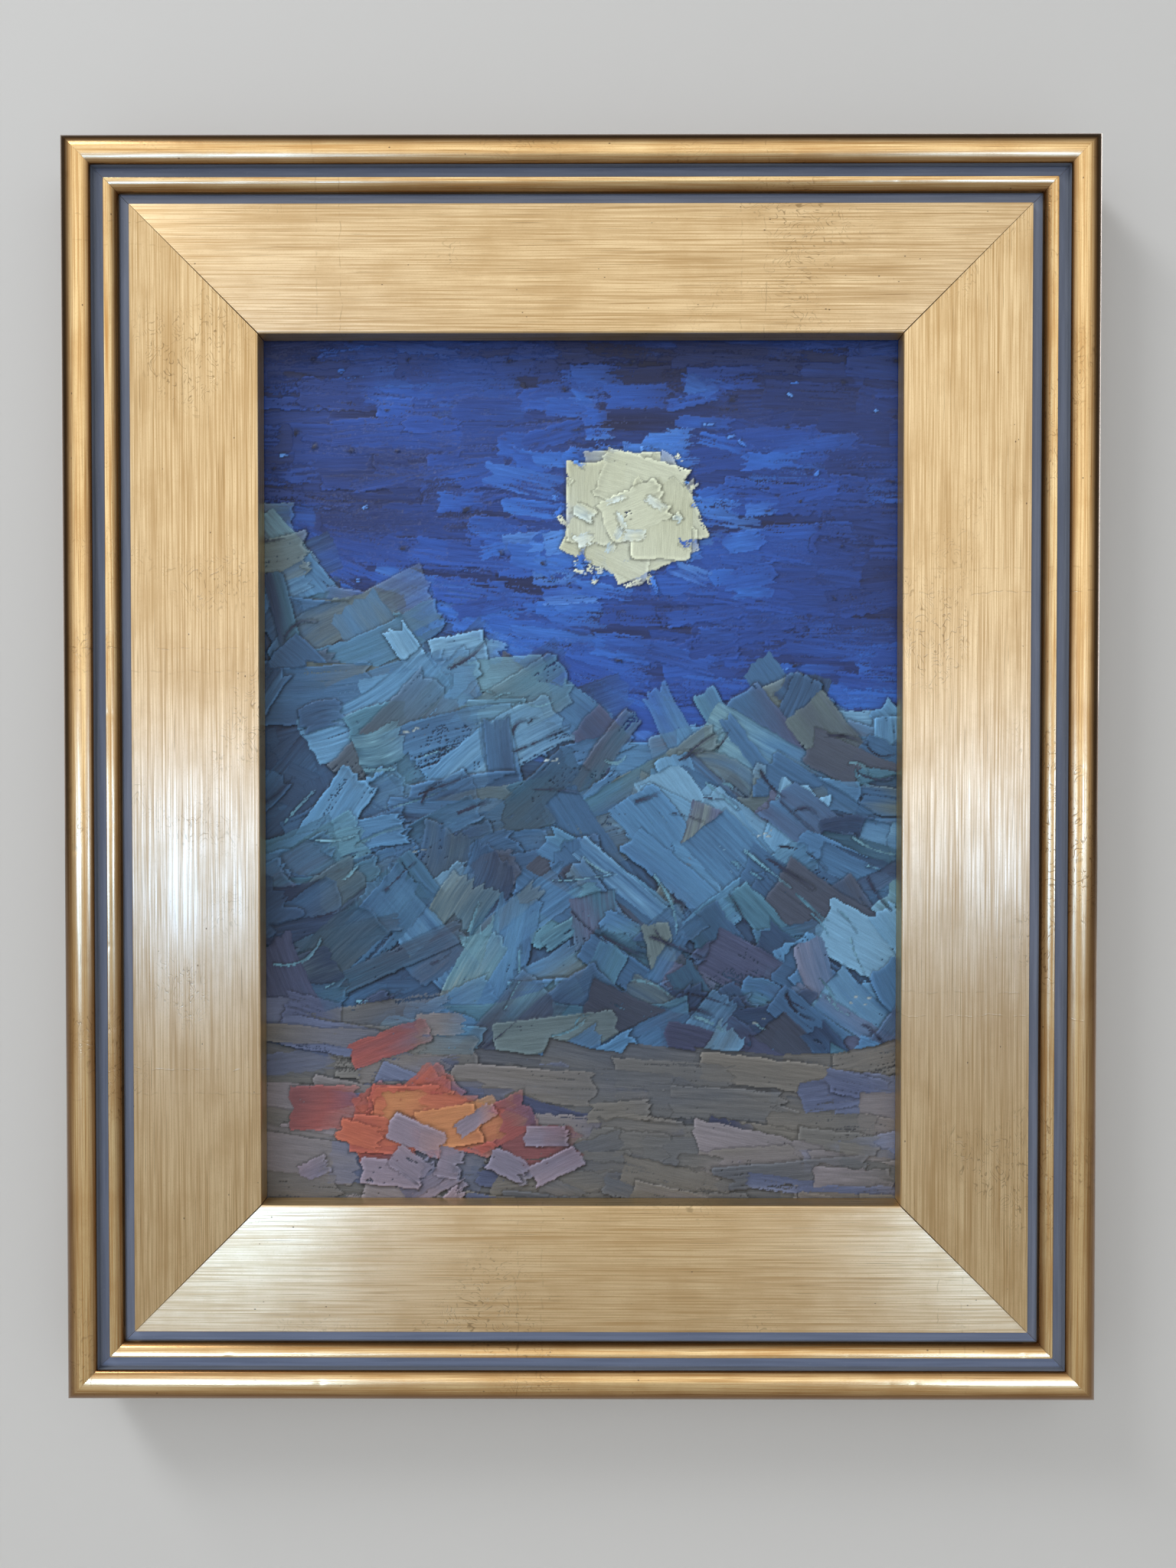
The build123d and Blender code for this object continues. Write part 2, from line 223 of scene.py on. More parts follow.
def relief_slab(grid, flat_y):
    """Points and faces of a closed slab: a relief given as a grid of points, over a flat side at flat_y.

    The relief faces -y when the grid's x grows along its rows, and +y when it shrinks.
    """
    rows, columns = grid.shape[:2]
    index = np.arange(rows * columns).reshape(rows, columns)
    quads = np.stack([index[:-1, :-1], index[:-1, 1:], index[1:, 1:], index[1:, :-1]], -1)
    faces = [tuple(quad) for quad in quads.reshape(-1, 4).tolist()]
    edge = np.concatenate([index[0, :-1], index[:-1, -1], index[-1, :0:-1], index[:0:-1, 0]]).tolist()
    relief = grid.reshape(-1, 3)
    flat = relief[edge].copy()
    flat[:, 1] = flat_y
    first, count = len(relief), len(edge)
    for i in range(count):
        j = (i + 1) % count
        faces.append((edge[j], edge[i], first + i, first + j))

    # the flat side is made of strips from side to side, one for each row
    left_side = [first] + [first + count - i for i in range(1, rows)]
    right_side = [first + columns - 1 + i for i in range(rows)]
    bottom = [first + i for i in range(columns - 1, -1, -1)]
    top = [first + i for i in range(columns + rows - 2, 2 * columns + rows - 2)]
    faces.append((*bottom, left_side[1], right_side[1]))
    for i in range(1, rows - 2):
        faces.append((right_side[i], left_side[i], left_side[i + 1], right_side[i + 1]))
    faces.append((right_side[-2], left_side[-2], *top[::-1]))
    return np.concatenate([relief, flat]), faces


def unit(vectors):
    return vectors / np.linalg.norm(vectors, axis=-1, keepdims=True)


# ---- The moulding. s is measured outward from the sight edge, h forward from the back plane. ----

PANEL_EDGE = (42.2 * MM, 17.2 * MM)
SIGHT_FRONT_H = 16.5 * MM
INNER_GROOVE_H = 15.4 * MM
OUTER_GROOVE_H = 17.3 * MM
BEAD_FOOT = (45.6 * MM, 16.1 * MM)
BEAD_BELLY = (47.3 * MM, 18.35 * MM)
BEAD_TOP = (49.9 * MM, 19.1 * MM)
RIM_FOOT = (53.6 * MM, 20.4 * MM)
RIM_ROUND = 6.4 * MM
GILT_DOWN_TO_H = 19.4 * MM  # on the rim's inner wall, where the slate paint begins

RAW, EDGE, RIM_GILT, SLATE, BEAD_GILT, PANEL_GILT = range(6)
RAIL_STEP = 0.9 * MM  # between the rings of points along a rail
LEAF_WIDTH = 140 * MM


def arc_through(a, b, c, steps):
    """Points on the circle through a, b and c, from a to c."""
    a, b, c = complex(*a), complex(*b), complex(*c)
    lean = (c - a) / (b - a)
    centre = a + (b - a) * (lean - abs(lean) ** 2) / (2j * lean.imag)
    turn = cmath.phase((c - centre) / (a - centre))
    points = [centre + (a - centre) * cmath.rect(1, turn * i / steps) for i in range(steps + 1)]
    return [(point.real, point.imag) for point in points]


def soften(path, corner, reach, steps=5):
    """Rounds a corner of a path: a curve replaces what lies within reach of it."""
    path = np.array(path)
    at = int(np.argmin(np.hypot(*(path - corner).T)))

    def cut(direction):
        left, index = reach, at
        while True:
            step = path[index + direction] - path[index]
            length = np.hypot(*step)
            if length > left:
                return path[index] + step * left / length, index
            left -= length
            index += direction

    before, first = cut(-1)
    after, last = cut(1)
    t = np.linspace(0, 1, steps + 1)[:, None]
    curve = before * (1 - t) ** 2 + 2 * path[at] * t * (1 - t) + after * t**2
    return np.vstack([path[:first], curve, path[last + 1 :]])


def moulding_path():
    """The cross-section as a closed path of (s, h): the rabbet, the back, the side and then the front."""
    crest = (MOULDING_WIDTH - RIM_ROUND, CREST_H)
    side_top = (MOULDING_WIDTH, CREST_H - RIM_ROUND)
    diagonal = RIM_ROUND * math.sin(math.pi / 4)
    rim_middle = (crest[0] + diagonal, side_top[1] + diagonal)
    run, drop = crest[0] - RIM_FOOT[0], CREST_H - RIM_FOOT[1]
    roll = (run**2 + drop**2) / (2 * drop)
    half_turn = math.asin(run / roll) / 2
    roll_middle = (crest[0] - roll * math.sin(half_turn), CREST_H - roll * (1 - math.cos(half_turn)))
    path = [(RABBET_WIDTH, RABBET_H), (RABBET_WIDTH, 0), (MOULDING_WIDTH, 0)]
    path += arc_through(side_top, rim_middle, crest, 18)
    path += arc_through(crest, roll_middle, RIM_FOOT, 8)[1:]
    path += [(RIM_FOOT[0], OUTER_GROOVE_H), (BEAD_TOP[0], OUTER_GROOVE_H)]
    path += arc_through(BEAD_TOP, BEAD_BELLY, BEAD_FOOT, 9)
    path += [(BEAD_FOOT[0], INNER_GROOVE_H), (PANEL_EDGE[0], INNER_GROOVE_H), PANEL_EDGE]
    path += [(0, SIGHT_FRONT_H), (0, RABBET_H)]
    path = soften(path, (0, SIGHT_FRONT_H), 0.9 * MM)
    path = soften(path, PANEL_EDGE, 0.25 * MM, 4)
    path = soften(path, BEAD_TOP, 0.25 * MM, 4)
    path = soften(path, RIM_FOOT, 0.7 * MM, 5)
    path = soften(path, (MOULDING_WIDTH, 0), 0.3 * MM, 3)
    return path


def region(s, h):
    """The finish at a point of the cross-section."""
    near = 0.001 * MM
    if s > MOULDING_WIDTH - 0.4 * MM and h < CREST_H - RIM_ROUND:
        return EDGE
    if h < RABBET_H + near:
        return RAW
    if s > RIM_FOOT[0] + near or (s > RIM_FOOT[0] - near and h > GILT_DOWN_TO_H):
        return RIM_GILT
    if s > BEAD_TOP[0] - near:
        return SLATE
    if s > BEAD_FOOT[0] + near:
        return BEAD_GILT
    down_panel_edge = abs(s - PANEL_EDGE[0]) < 10 * near and h < PANEL_EDGE[1] - 0.3 * MM
    if s > PANEL_EDGE[0] + near or down_panel_edge:
        return SLATE
    return PANEL_GILT


def wax(s):
    """How much painted shade darkens the bead's inner foot and both slopes of the rim, 0 to 1."""

    def fade(start, end):
        share = np.clip((s - start) / (end - start), 0, 1)
        return 1 - share**2 * (3 - 2 * share)

    on_bead = fade(BEAD_FOOT[0] + 0.4 * MM, BEAD_TOP[0] - 1.3 * MM)
    inner_slope = fade(RIM_FOOT[0], RIM_FOOT[0] + 2.4 * MM)
    outer_slope = fade(MOULDING_WIDTH - 2.8 * MM, MOULDING_WIDTH - RIM_ROUND - 0.5 * MM)
    on_rim = np.maximum(inner_slope, outer_slope)
    return np.where(s > BEAD_TOP[0] + 0.1 * MM, on_rim, on_bead)


def knocks(rail_length, seed):
    """Small dents in a rail: where along and across it, how wide and how deep."""
    rng = np.random.default_rng(seed)
    edges = [BEAD_TOP[0] - 0.4 * MM, RIM_FOOT[0] + 3.5 * MM, RIM_FOOT[0] + 7.5 * MM]
    dents = []
    for _ in range(16):
        along = rng.uniform(-0.47, 0.47) * rail_length
        across = rng.choice(edges) + rng.normal(0, 0.8) * MM
        dents.append((along, across, rng.uniform(0.5, 1.3) * MM, rng.uniform(0.03, 0.1) * MM))
    return dents


def add_uv(piece, name, u, v):
    """A UV layer from two numbers for each vertex."""
    vertex = np.empty(len(piece.data.loops), np.int32)
    piece.data.loops.foreach_get("vertex_index", vertex)
    places = np.stack([u.ravel(), v.ravel()], -1)
    layer = piece.data.uv_layers.new(name=name)
    layer.data.foreach_set("uv", places[vertex].astype(np.float32).ravel())


def rail(name, node, length, direction, number, materials):
    """One rail with mitred ends.

    direction is the way its length runs when seen from the front, in degrees. number gives it its own knocks
    and its own stretch of the gilding's pattern.
    """
    path = moulding_path()
    s, h = path[:, 0], path[:, 1]
    round_profile = np.concatenate([[0], np.cumsum(np.hypot(np.diff(s), np.diff(h)))])
    rings, sides = int(length / RAIL_STEP), len(path)
    half = length / 2 - (MOULDING_WIDTH - s) - MITRE_GAP * (1 - s / MOULDING_WIDTH)
    along = np.linspace(-1, 1, rings)[:, None] * half[None, :]
    across = np.broadcast_to(s, along.shape)
    height = np.broadcast_to(h, along.shape).copy()
    for at, at_s, radius, depth in knocks(length, 7 * number + 3):
        near = np.exp(-((along - at) ** 2 + (across - at_s) ** 2) / radius**2)
        height -= np.where(height > OUTER_GROOVE_H + 0.3 * MM, depth * near, 0)
    turn = Matrix.Rotation(math.radians(direction), 3, "Y")
    sight = SIGHT_HALF_HEIGHT if direction % 180 == 0 else SIGHT_HALF
    local = np.stack([along, -height, -(across + sight)], -1).reshape(-1, 3)
    points = local @ np.array(turn).T + np.array([0, 0, MIDDLE_Z])
    finishes = [region(*((path[j] + path[(j + 1) % sides]) / 2)) for j in range(sides)]
    kinds = finishes * (rings - 1) + [RAW, RAW]
    piece = mesh_object(name, points, sleeve_faces(rings, sides), materials, kinds)
    add_uv(piece, "rail", along + number, np.broadcast_to(round_profile, along.shape))
    # how much painted shade each point of the rail gets, carried in a UV layer
    add_uv(piece, "wax", np.broadcast_to(wax(s), along.shape), np.zeros(along.shape))
    keep_crisp(piece, 35)
    stand_in(piece, node)
    return piece


# ---- Materials of the moulding ----


def gilt(name, colour, dark, streak_depth, polish, spread, has_painted_shade):
    """Metal leaf under a toned glaze that was dragged along the rail.

    polish is the lowest roughness, and spread how far the dragging spreads a highlight across the rail.
    Its last argument says whether painted shade darkens its hollows and slopes.
    """
    t = material_tree(name)
    uv = t.uv()
    fine = t.noise(uv, (38, 4300, 1), 3)
    broad = t.noise(uv, (17, 1700, 1), 3, shift=(0, 0, 5))
    wash = t.noise(uv, (6, 160, 1), 3, shift=(0, 0, 9))
    cloud = t.noise(uv, (45, 60, 1), 6, 0.6)
    scratch = t.noise(uv, (36, 2700, 1), shift=(0, 0, 14))
    grit = t.noise(uv, (1500, 2200, 1))
    streak = t.plus(t.times(fine, 0.45), t.times(broad, 0.55))
    streak = t.plus(t.times(streak, 0.85), t.times(wash, 0.15))
    base = t.mix(t.between(streak, 0.36, 0.62), dark, colour)
    base = t.tint(base, cloud, 0.42, 0.7, 0.4, dark)
    base = t.tint(base, grit, 0.55, 0.75, 0.3, dark)
    base = t.tint(base, scratch, 0.64, 0.72, 0.65, darker(dark, 0.58))
    lap = leaf_laps(t, uv)
    base = t.mix(t.times(lap, 0.35), base, darker(dark, 0.55))
    crease = leaf_creases(t, uv)
    base = t.mix(t.times(crease, 0.7), base, darker(dark, 0.45))
    nick = nicks(t, uv)
    base = t.mix(t.times(nick, 0.75), base, srgb(74, 54, 40))
    # painted shade: a dark brown multiplied over the bead's inner foot and the rim's slopes, for their shade
    # and dark reflections
    if has_painted_shade:
        uneven = t.between(wash, 0.3, 0.7, -0.14, 0.14)
        painted_shade_amount = t.math("ADD", t.split(t.uv("wax"))[0], uneven, clamp=True)
        base = t.mix(painted_shade_amount, base, (0.31, 0.235, 0.18), "MULTIPLY")
    height = t.plus(t.times(streak, streak_depth), t.times(lap, 0.5))
    height = t.math("SUBTRACT", height, t.times(crease, 0.8))
    height = t.math("SUBTRACT", height, nick)
    return t.finish(
        Base_Color=base,
        Metallic=1.0,
        Roughness=t.between(streak, 0.3, 0.7, polish + 0.14, polish),
        Anisotropic=spread,
        Anisotropic_Rotation=0.25,
        Tangent=t.add("Tangent", direction_type="UV_MAP", uv_map="rail").outputs[0],
        Coat_Weight=0.12,
        Coat_Roughness=0.25,
        Normal=t.bump(height, 0.03 * MM, 0.6),
    )


def leaf_laps(t, uv):
    """Thin broken lines across the rail, two for each leaf: its edge, and a fainter one beside it."""
    wobble = t.times(t.noise(uv, (60, 160, 1), 3), 4 * MM)
    leaf = t.math("FRACT", t.math("DIVIDE", t.plus(t.split(uv)[0], wobble), LEAF_WIDTH))
    distance = t.times(leaf, LEAF_WIDTH)
    over = t.line(distance, 1 * MM, 0.25 * MM, 0.1 * MM)
    below = t.line(distance, 9 * MM, 0.4 * MM, 0.1 * MM)
    broken = t.between(t.noise(uv, (400, 400, 1), shift=(3, 0, 0)), 0.42, 0.6)
    return t.times(t.plus(over, t.times(below, 0.6)), broken)


def leaf_creases(t, uv):
    """Nested curved wrinkles of the leaf, in patches."""
    swirl = t.noise(uv, (120, 190, 1), distortion=0.5, shift=(2, 6, 0))
    crest = t.line(t.math("FRACT", t.times(swirl, 12)), 0.5, 0.16, 0.0)
    patch = t.between(t.noise(uv, (19, 24, 1), 1, shift=(7, 2, 0)), 0.53, 0.68)
    faint = t.between(t.noise(uv, (340, 340, 1)), 0.42, 0.58)
    return t.times(t.times(crest, patch), faint)


def nicks(t, uv):
    """Small dark nicks where the leaf broke over the clay."""
    spots = t.between(t.cells(uv, (210, 330, 1)), 0.085, 0.05)
    return t.times(spots, t.between(t.noise(uv, (70, 70, 1), shift=(1, 5, 0)), 0.56, 0.6))


def slate_paint():
    t = material_tree("slate_paint")
    uv = t.uv()
    drag = t.noise(uv, (30, 900, 1), 3)
    dust = t.noise(uv, (900, 900, 1), 2)
    base = t.mix(t.between(drag, 0.35, 0.65), srgb(104, 109, 118), srgb(116, 121, 130))
    base = t.tint(base, dust, 0.62, 0.75, 0.35, srgb(128, 130, 134))
    bump = t.bump(drag, 0.04 * MM, 0.5)
    return t.finish(Base_Color=base, Roughness=0.5, Normal=bump, Specular_IOR_Level=0.4)


def toned_side():
    """The frame's outer edge: leaf toned down with dark wax towards the back."""
    t = material_tree("toned_side")
    uv = t.uv()
    drag = t.noise(uv, (14, 500, 1), 4)
    worn = t.noise(uv, (60, 160, 1), 5)
    front = t.split(t.place())[1]
    toward_back = t.between(front, -0.0165, -0.008)
    base = t.mix(t.between(drag, 0.35, 0.65), srgb(96, 66, 38), srgb(150, 110, 62))
    base = t.mix(toward_back, base, srgb(80, 56, 38))
    base = t.tint(base, worn, 0.62, 0.72, 0.6, srgb(38, 27, 22))
    metal = t.between(front, -0.015, -0.009, 0.85, 0.15)
    return t.finish(Base_Color=base, Metallic=metal, Roughness=0.42, Normal=t.bump(drag, 0.05 * MM, 0.5))


def raw_wood():
    t = material_tree("raw_wood")
    uv = t.uv()
    ring = t.noise(uv, (5, 130, 1), 3, distortion=0.4)
    pore = t.noise(uv, (120, 2600, 1), shift=(0, 0, 4))
    base = t.mix(t.between(ring, 0.3, 0.7), srgb(196, 160, 116), srgb(217, 187, 146))
    base = t.tint(base, pore, 0.6, 0.7, 0.55, srgb(140, 104, 70))
    saw = t.math("SINE", t.times(t.split(uv)[0], 2400))
    height = t.plus(t.times(pore, -0.6), t.times(saw, 0.12))
    return t.finish(Base_Color=base, Roughness=0.72, Normal=t.bump(height, 0.08 * MM, 0.7))


def make_rails():
    panel = gilt("gilt_panel", srgb(243, 216, 169), srgb(196, 160, 108), 0.55, 0.27, 0.75, False)
    # the bead and the rim get painted shade on their slopes
    bead = gilt("gilt_bead", srgb(252, 226, 172), srgb(200, 150, 86), 0.4, 0.17, 0.3, True)
    rim = gilt("gilt_rim", srgb(253, 222, 165), srgb(202, 156, 96), 0.5, 0.17, 0.3, True)
    materials = [raw_wood(), toned_side(), rim, slate_paint(), bead, panel]
    rails = []
    for number, side in enumerate(("bottom", "left", "top", "right"), 1):
        length = 2 * OUTER_HALF if side in ("bottom", "top") else OUTER_HEIGHT
        rails.append(rail(f"gilt_{side}_rail", f"{side}_rail", length, 90 * (number - 1), number, materials))
    cut_pockets(rails)
    return rails


def underpin_cutter():
    """The underpins stretched out past the frame's back, to cut their pockets."""
    mesh = frame["nodes"]["corner_underpins"].data.copy()
    cutter = bpy.data.objects.new("underpin_cutter", mesh)
    bpy.context.scene.collection.objects.link(cutter)
    shape = bmesh.new()
    shape.from_mesh(mesh)
    bmesh.ops.remove_doubles(shape, verts=shape.verts, dist=1e-6)
    for vertex in shape.verts:
        if vertex.co.y > -1 * MM:
            vertex.co.y = 1 * MM
    shape.to_mesh(mesh)
    shape.free()
    return cutter


def cut_pockets(rails):
    cutter = underpin_cutter()
    for piece in rails:
        cut = piece.modifiers.new("pockets", "BOOLEAN")
        cut.object = cutter
        cut.solver = "EXACT"
        graph = bpy.context.evaluated_depsgraph_get()
        cut_mesh = bpy.data.meshes.new_from_object(piece.evaluated_get(graph))
        piece.modifiers.remove(cut)
        piece.data = cut_mesh
    bpy.data.objects.remove(cutter)
# ---- The painting: moonlit hills laid on with a knife, stroke over stroke, on a grid ----
# Its lengths are in millimetres, x from the panel's left edge and z up from its bottom edge, and WIDTH and
# HEIGHT are the panel's.

WIDTH = (PAINT_HIGH.x - PAINT_LOW.x) / MM
HEIGHT = (PAINT_HIGH.z - PAINT_LOW.z) / MM
PAINT_DEPTH = (PAINT_HIGH.y - PAINT_LOW.y) / MM
GRID = 0.4
GROUND_COAT = 0.04
PAINT_TONE = 0.86
RELIEF = 1.45
HAIR_WIDTH = 0.45  # of the finest streaks in a stroke
STREAK_WIDTH = 3.5
BODY = 0.09  # paint thicker than this gets a painted highlight on its edges, and a painted shadow in a crease round it
MOON = (0.57 * WIDTH, 0.79 * HEIGHT)
MOON_RADIUS = 23.0
GLOW = (0.25 * WIDTH, 0.115 * HEIGHT)

# Each palette runs from dark to light.
SKY = [(38, 44, 78), (38, 54, 106), (40, 68, 140), (44, 84, 172), (54, 112, 206), (88, 144, 222)]
HILLS = [(38, 54, 84), (52, 78, 112), (60, 98, 138), (72, 116, 160), (86, 138, 182), (114, 162, 198)]
TEAL = [(40, 70, 96), (58, 98, 126), (80, 128, 154), (112, 156, 176)]
OLIVE = [(62, 80, 96), (88, 108, 118), (116, 132, 132)]
DUSK = [(56, 62, 90), (72, 82, 114), (92, 104, 136), (116, 126, 154)]
BROWN = [(52, 60, 80), (66, 76, 96), (84, 94, 112)]
EARTH = [(74, 80, 94), (88, 94, 104), (102, 104, 106), (112, 110, 106), (122, 120, 128), (140, 134, 142)]
MAUVE = [(88, 92, 118), (114, 114, 136), (140, 130, 146)]
FIRE = [(98, 72, 84), (132, 80, 84), (168, 88, 80), (186, 112, 84), (186, 146, 98)]
CREAM = [(192, 196, 166), (204, 212, 190), (212, 219, 196), (216, 226, 212)]
PALE = [(176, 204, 220), (215, 234, 239)]
DARK = [(30, 34, 54), (44, 52, 78)]


def bell(distance):
    """1 at no distance, and nearly 0 from a distance of 2."""
    return math.exp(-(distance**2))


class Canvas:
    """The height, colour and grain of the paint at each point of a grid."""

    def __init__(self, seed):
        self.rng = np.random.default_rng(seed)
        self.x = np.linspace(0, WIDTH, round(WIDTH / GRID) + 1)
        self.z = np.linspace(0, HEIGHT, round(HEIGHT / GRID) + 1)
        shape = (len(self.z), len(self.x))
        self.height = np.full(shape, GROUND_COAT)
        self.colour = np.full((*shape, 3), srgb(44, 46, 62))
        self.grain = np.zeros((*shape, 3))

    def pick(self, palette, lightness, spread=0.1):
        """A colour of a palette at a lightness of about 0 to 1."""
        at = np.clip(lightness + self.rng.normal(0, spread), 0, 1) * (len(palette) - 1)
        steps = np.arange(len(palette))
        shade = srgb(*(np.interp(at, steps, [colour[i] for colour in palette]) for i in range(3)))
        return np.array(shade) * PAINT_TONE

    def pair(self, palette, first, second, spread=0.1):
        """Two colours of a palette, for a stroke to run between."""
        return self.pick(palette, first, spread), self.pick(palette, second, spread)

    def size(self, lengths, widths):
        """A random length and width for a stroke, each from a range."""
        return self.rng.uniform(*lengths), self.rng.uniform(*widths)

    def wavy(self, share, knots, size):
        """A random line over a share of 0 to 1."""
        return np.interp(share, np.linspace(0, 1, knots), self.rng.normal(0, size, knots))

    def drag(self, u, v, long_steps, cross_steps):
        """Noise drawn out along a stroke, with u and v its shares along and across."""
        grid = self.rng.normal(size=(long_steps + 2, cross_steps + 2))
        i, j = np.clip(u, 0, 1) * long_steps, np.clip(v, 0, 1) * cross_steps
        i0, j0 = i.astype(int), j.astype(int)
        fi, fj = i - i0, j - j0
        near = grid[i0, j0] * (1 - fj) + grid[i0, j0 + 1] * fj
        far = grid[i0 + 1, j0] * (1 - fj) + grid[i0 + 1, j0 + 1] * fj
        return near * (1 - fi) + far * fi

    def stroke(self, x, z, degrees, length, width, first, second, thick,
               dry=0.0, ridge=0.1, ragged=1.0, bend=0.0, streaky=1.0):
        """One pull of the knife, from one colour to another.

        dry is how much of the ground it misses, and ridge the paint squeezed out at its edges.
        """
        rng = self.rng
        reach = math.hypot(length, width) / 2 + 1
        columns = slice(*np.searchsorted(self.x, (x - reach, x + reach)))
        rows = slice(*np.searchsorted(self.z, (z - reach, z + reach)))
        if columns.start == columns.stop or rows.start == rows.stop:
            return
        window = (rows, columns)
        old, under = self.height[window], self.colour[window]

        # p and q run along and across the stroke in millimetres, u and v in shares of it
        dx, dz = self.x[columns][None, :] - x, self.z[rows][:, None] - z
        cosine, sine = math.cos(math.radians(degrees)), math.sin(math.radians(degrees))
        p = dx * cosine + dz * sine
        q = dz * cosine - dx * sine + bend * width * (2 * p / length) ** 2
        u, v = p / length + 0.5, q / width + 0.5
        side = np.minimum(v, 1 - v) * width - np.abs(self.wavy(u, 12, 0.3 * ragged))
        start = u * length - np.abs(self.wavy(v, 5, 0.9 * ragged))
        end = (1 - u) * length - np.abs(self.wavy(v, 7, 1.5 * ragged))
        inward = np.minimum(np.minimum(side, start), end)

        # where the paint catches: less toward the end of a dry stroke, and more on high ground
        fine = self.drag(u, v, 5, int(width / HAIR_WIDTH) + 1)
        broad = self.drag(u, v, 2, int(width / STREAK_WIDTH) + 1)
        pits = rng.normal(size=old.shape)
        catch = 0.7 * fine + 0.5 * broad + 0.35 * pits + 5 * (old - old.mean())
        mask = (inward > 0) & (catch > -2.1 + 3.2 * dry + 1.4 * dry * (u - 0.5))
        if not mask.any():
            return

        # its relief: leaning and streaked, with ridges at both sides and at its end
        lean, fall = rng.uniform(-0.4, 0.4), rng.uniform(0, 0.4)
        new = 0.5 * old[mask].mean() + thick + thick * (lean * (2 * v - 1) - fall * (u - 0.5))
        new = new + streaky * (0.014 * fine + 0.016 * broad)
        low_ridge, high_ridge = ridge * rng.uniform(0, 1, 2) ** 2
        squeeze = 1 + 0.5 * self.wavy(u, 10, 1)
        new = new + low_ridge * squeeze * np.exp(-np.abs(v) * width / 0.5)
        new = new + high_ridge * squeeze * np.exp(-np.abs(1 - v) * width / 0.5)
        new = new + ridge * rng.uniform(0, 1.2) * np.exp(-np.maximum(end, 0) / 0.7)

        # its colour: streaks of both colours, a painted highlight on its edges, mixed with the wet paint
        # under it
        turn_u, turn_v = rng.uniform(-0.9, 0.9, 2)
        share = 0.5 + streaky * (0.26 * broad + 0.12 * fine) + turn_u * (u - 0.5) + turn_v * (v - 0.5)
        share = np.clip(share, 0, 1)[..., None]
        paint = (first * (1 - share) + second * share) * (1 + 0.05 * streaky * fine[..., None])
        # painted highlight on the edges of thick paint
        lit_edge = 0.24 * np.exp(-np.maximum(inward, 0) / 0.45) * (thick > BODY) * (broad > -0.3)
        paint = paint * (1 + lit_edge[..., None])
        wet = np.clip(0.14 + 0.16 * broad + 1.2 * (u - 0.55), 0.04, 0.8)[..., None]
        wet = wet * (0.4 if thick > 0.22 else 0.9)
        paint = paint * (1 - wet) + under * wet
        # painted shadow: the paint just outside a thick stroke is darkened, as shade in the crease round it
        crease = (inward <= 0) & (inward > -0.6) & (broad > -0.2) & (thick > BODY)
        under = under * np.where(crease, 0.68, 1)[..., None]

        self.height[window] = np.where(mask, new, old)
        self.colour[window] = np.where(mask[..., None], paint, under)
        own_grain = np.stack([q, p, np.full_like(p, rng.uniform(0, 90))], -1)
        self.grain[window] = np.where(mask[..., None], own_grain, self.grain[window])


def skyline(x):
    """The height of the far ridge above the panel's bottom edge: a fall from the left, then a low hill."""
    share = x / WIDTH
    fall = 0.8 - 0.27 * min(max(share / 0.66, 0), 1) ** 0.8
    hill = 0.065 * bell((share - 0.85) / 0.17)
    knolls = 0.012 * math.sin(17 * share + 1.1) + 0.01 * math.sin(41 * share)
    return (fall + hill + knolls) * HEIGHT


def field_edge(x):
    """Where the hills meet the brown ground."""
    share = x / WIDTH
    return (0.235 - 0.09 * share + 0.015 * math.sin(9 * share + 0.5)) * HEIGHT


def around_moon(turn, across, up):
    """A place round the moon's centre, at these distances across and up in moon radii."""
    x = MOON[0] + across * MOON_RADIUS * math.cos(turn)
    z = MOON[1] + up * MOON_RADIUS * math.sin(turn)
    return x, z


def paint_sky(canvas):
    """Level strokes, lighter round the moon and low over the hills, and darker in a few shaded places."""
    rng = canvas.rng
    for z in np.arange(HEIGHT + 2, 0.45 * HEIGHT, -7):
        for x in np.arange(-5, WIDTH + 15, 24):
            place = (x + rng.uniform(-8, 8), z + rng.uniform(-2, 2))
            colours = canvas.pair(SKY, 0.2, 0.4)
            size = canvas.size((38, 64), (9, 14))
            canvas.stroke(*place, rng.normal(0, 4), *size, *colours, 0.06, ridge=0.03)
    shades = []
    for _ in range(9):
        shades.append((rng.uniform(0, WIDTH), rng.uniform(0.55, 1) * HEIGHT, rng.uniform(14, 30)))
    for _ in range(430):
        x, z = rng.uniform(-5, WIDTH + 5), rng.uniform(0.5, 1.02) * HEIGHT
        above = z - skyline(x)
        from_moon = math.hypot((x - MOON[0]) / 1.25, z - MOON[1])
        light = 0.32 + 0.5 * bell(from_moon / 74) + 0.16 * bell(above / 22)
        for shade_x, shade_z, radius in shades:
            light -= 0.3 * bell(math.hypot((x - shade_x) / 1.6, z - shade_z) / radius)
        tilt = rng.normal(0, 5) - 22 * bell(above / 16) * (x < 0.6 * WIDTH)
        size = canvas.size((14, 48), (3.5, 11))
        colours = canvas.pair(SKY, light, light + 0.1)
        canvas.stroke(x, z, tilt, *size, *colours, rng.uniform(0.04, 0.1), rng.uniform(0.2, 0.75), 0.07, 1.6)
    for halo in np.linspace(2.4, 0.8, 76):
        x, z = around_moon(rng.uniform(0, 2 * math.pi), 1.2 * halo, 0.95 * halo)
        light = 1.08 - 0.24 * halo
        colours = canvas.pair(SKY, light - 0.1, light + 0.05)
        tilt = rng.normal(0, 9)
        size = canvas.size((10, 30), (4, 9))
        canvas.stroke(x, z, tilt, *size, *colours, 0.09, 0.35, 0.1, 1.6)
    for _ in range(75):
        x, z = rng.uniform(0, WIDTH), rng.uniform(0.6, 1) * HEIGHT
        size = canvas.size((1, 4), (0.6, 1.5))
        palette, light = (DARK, 0.4) if rng.random() < 0.75 else (SKY, 1)
        dab = canvas.pick(palette, light)
        canvas.stroke(x, z, rng.normal(0, 20), *size, dab, dab, 0.1, 0.3, 0.14, 0.4)


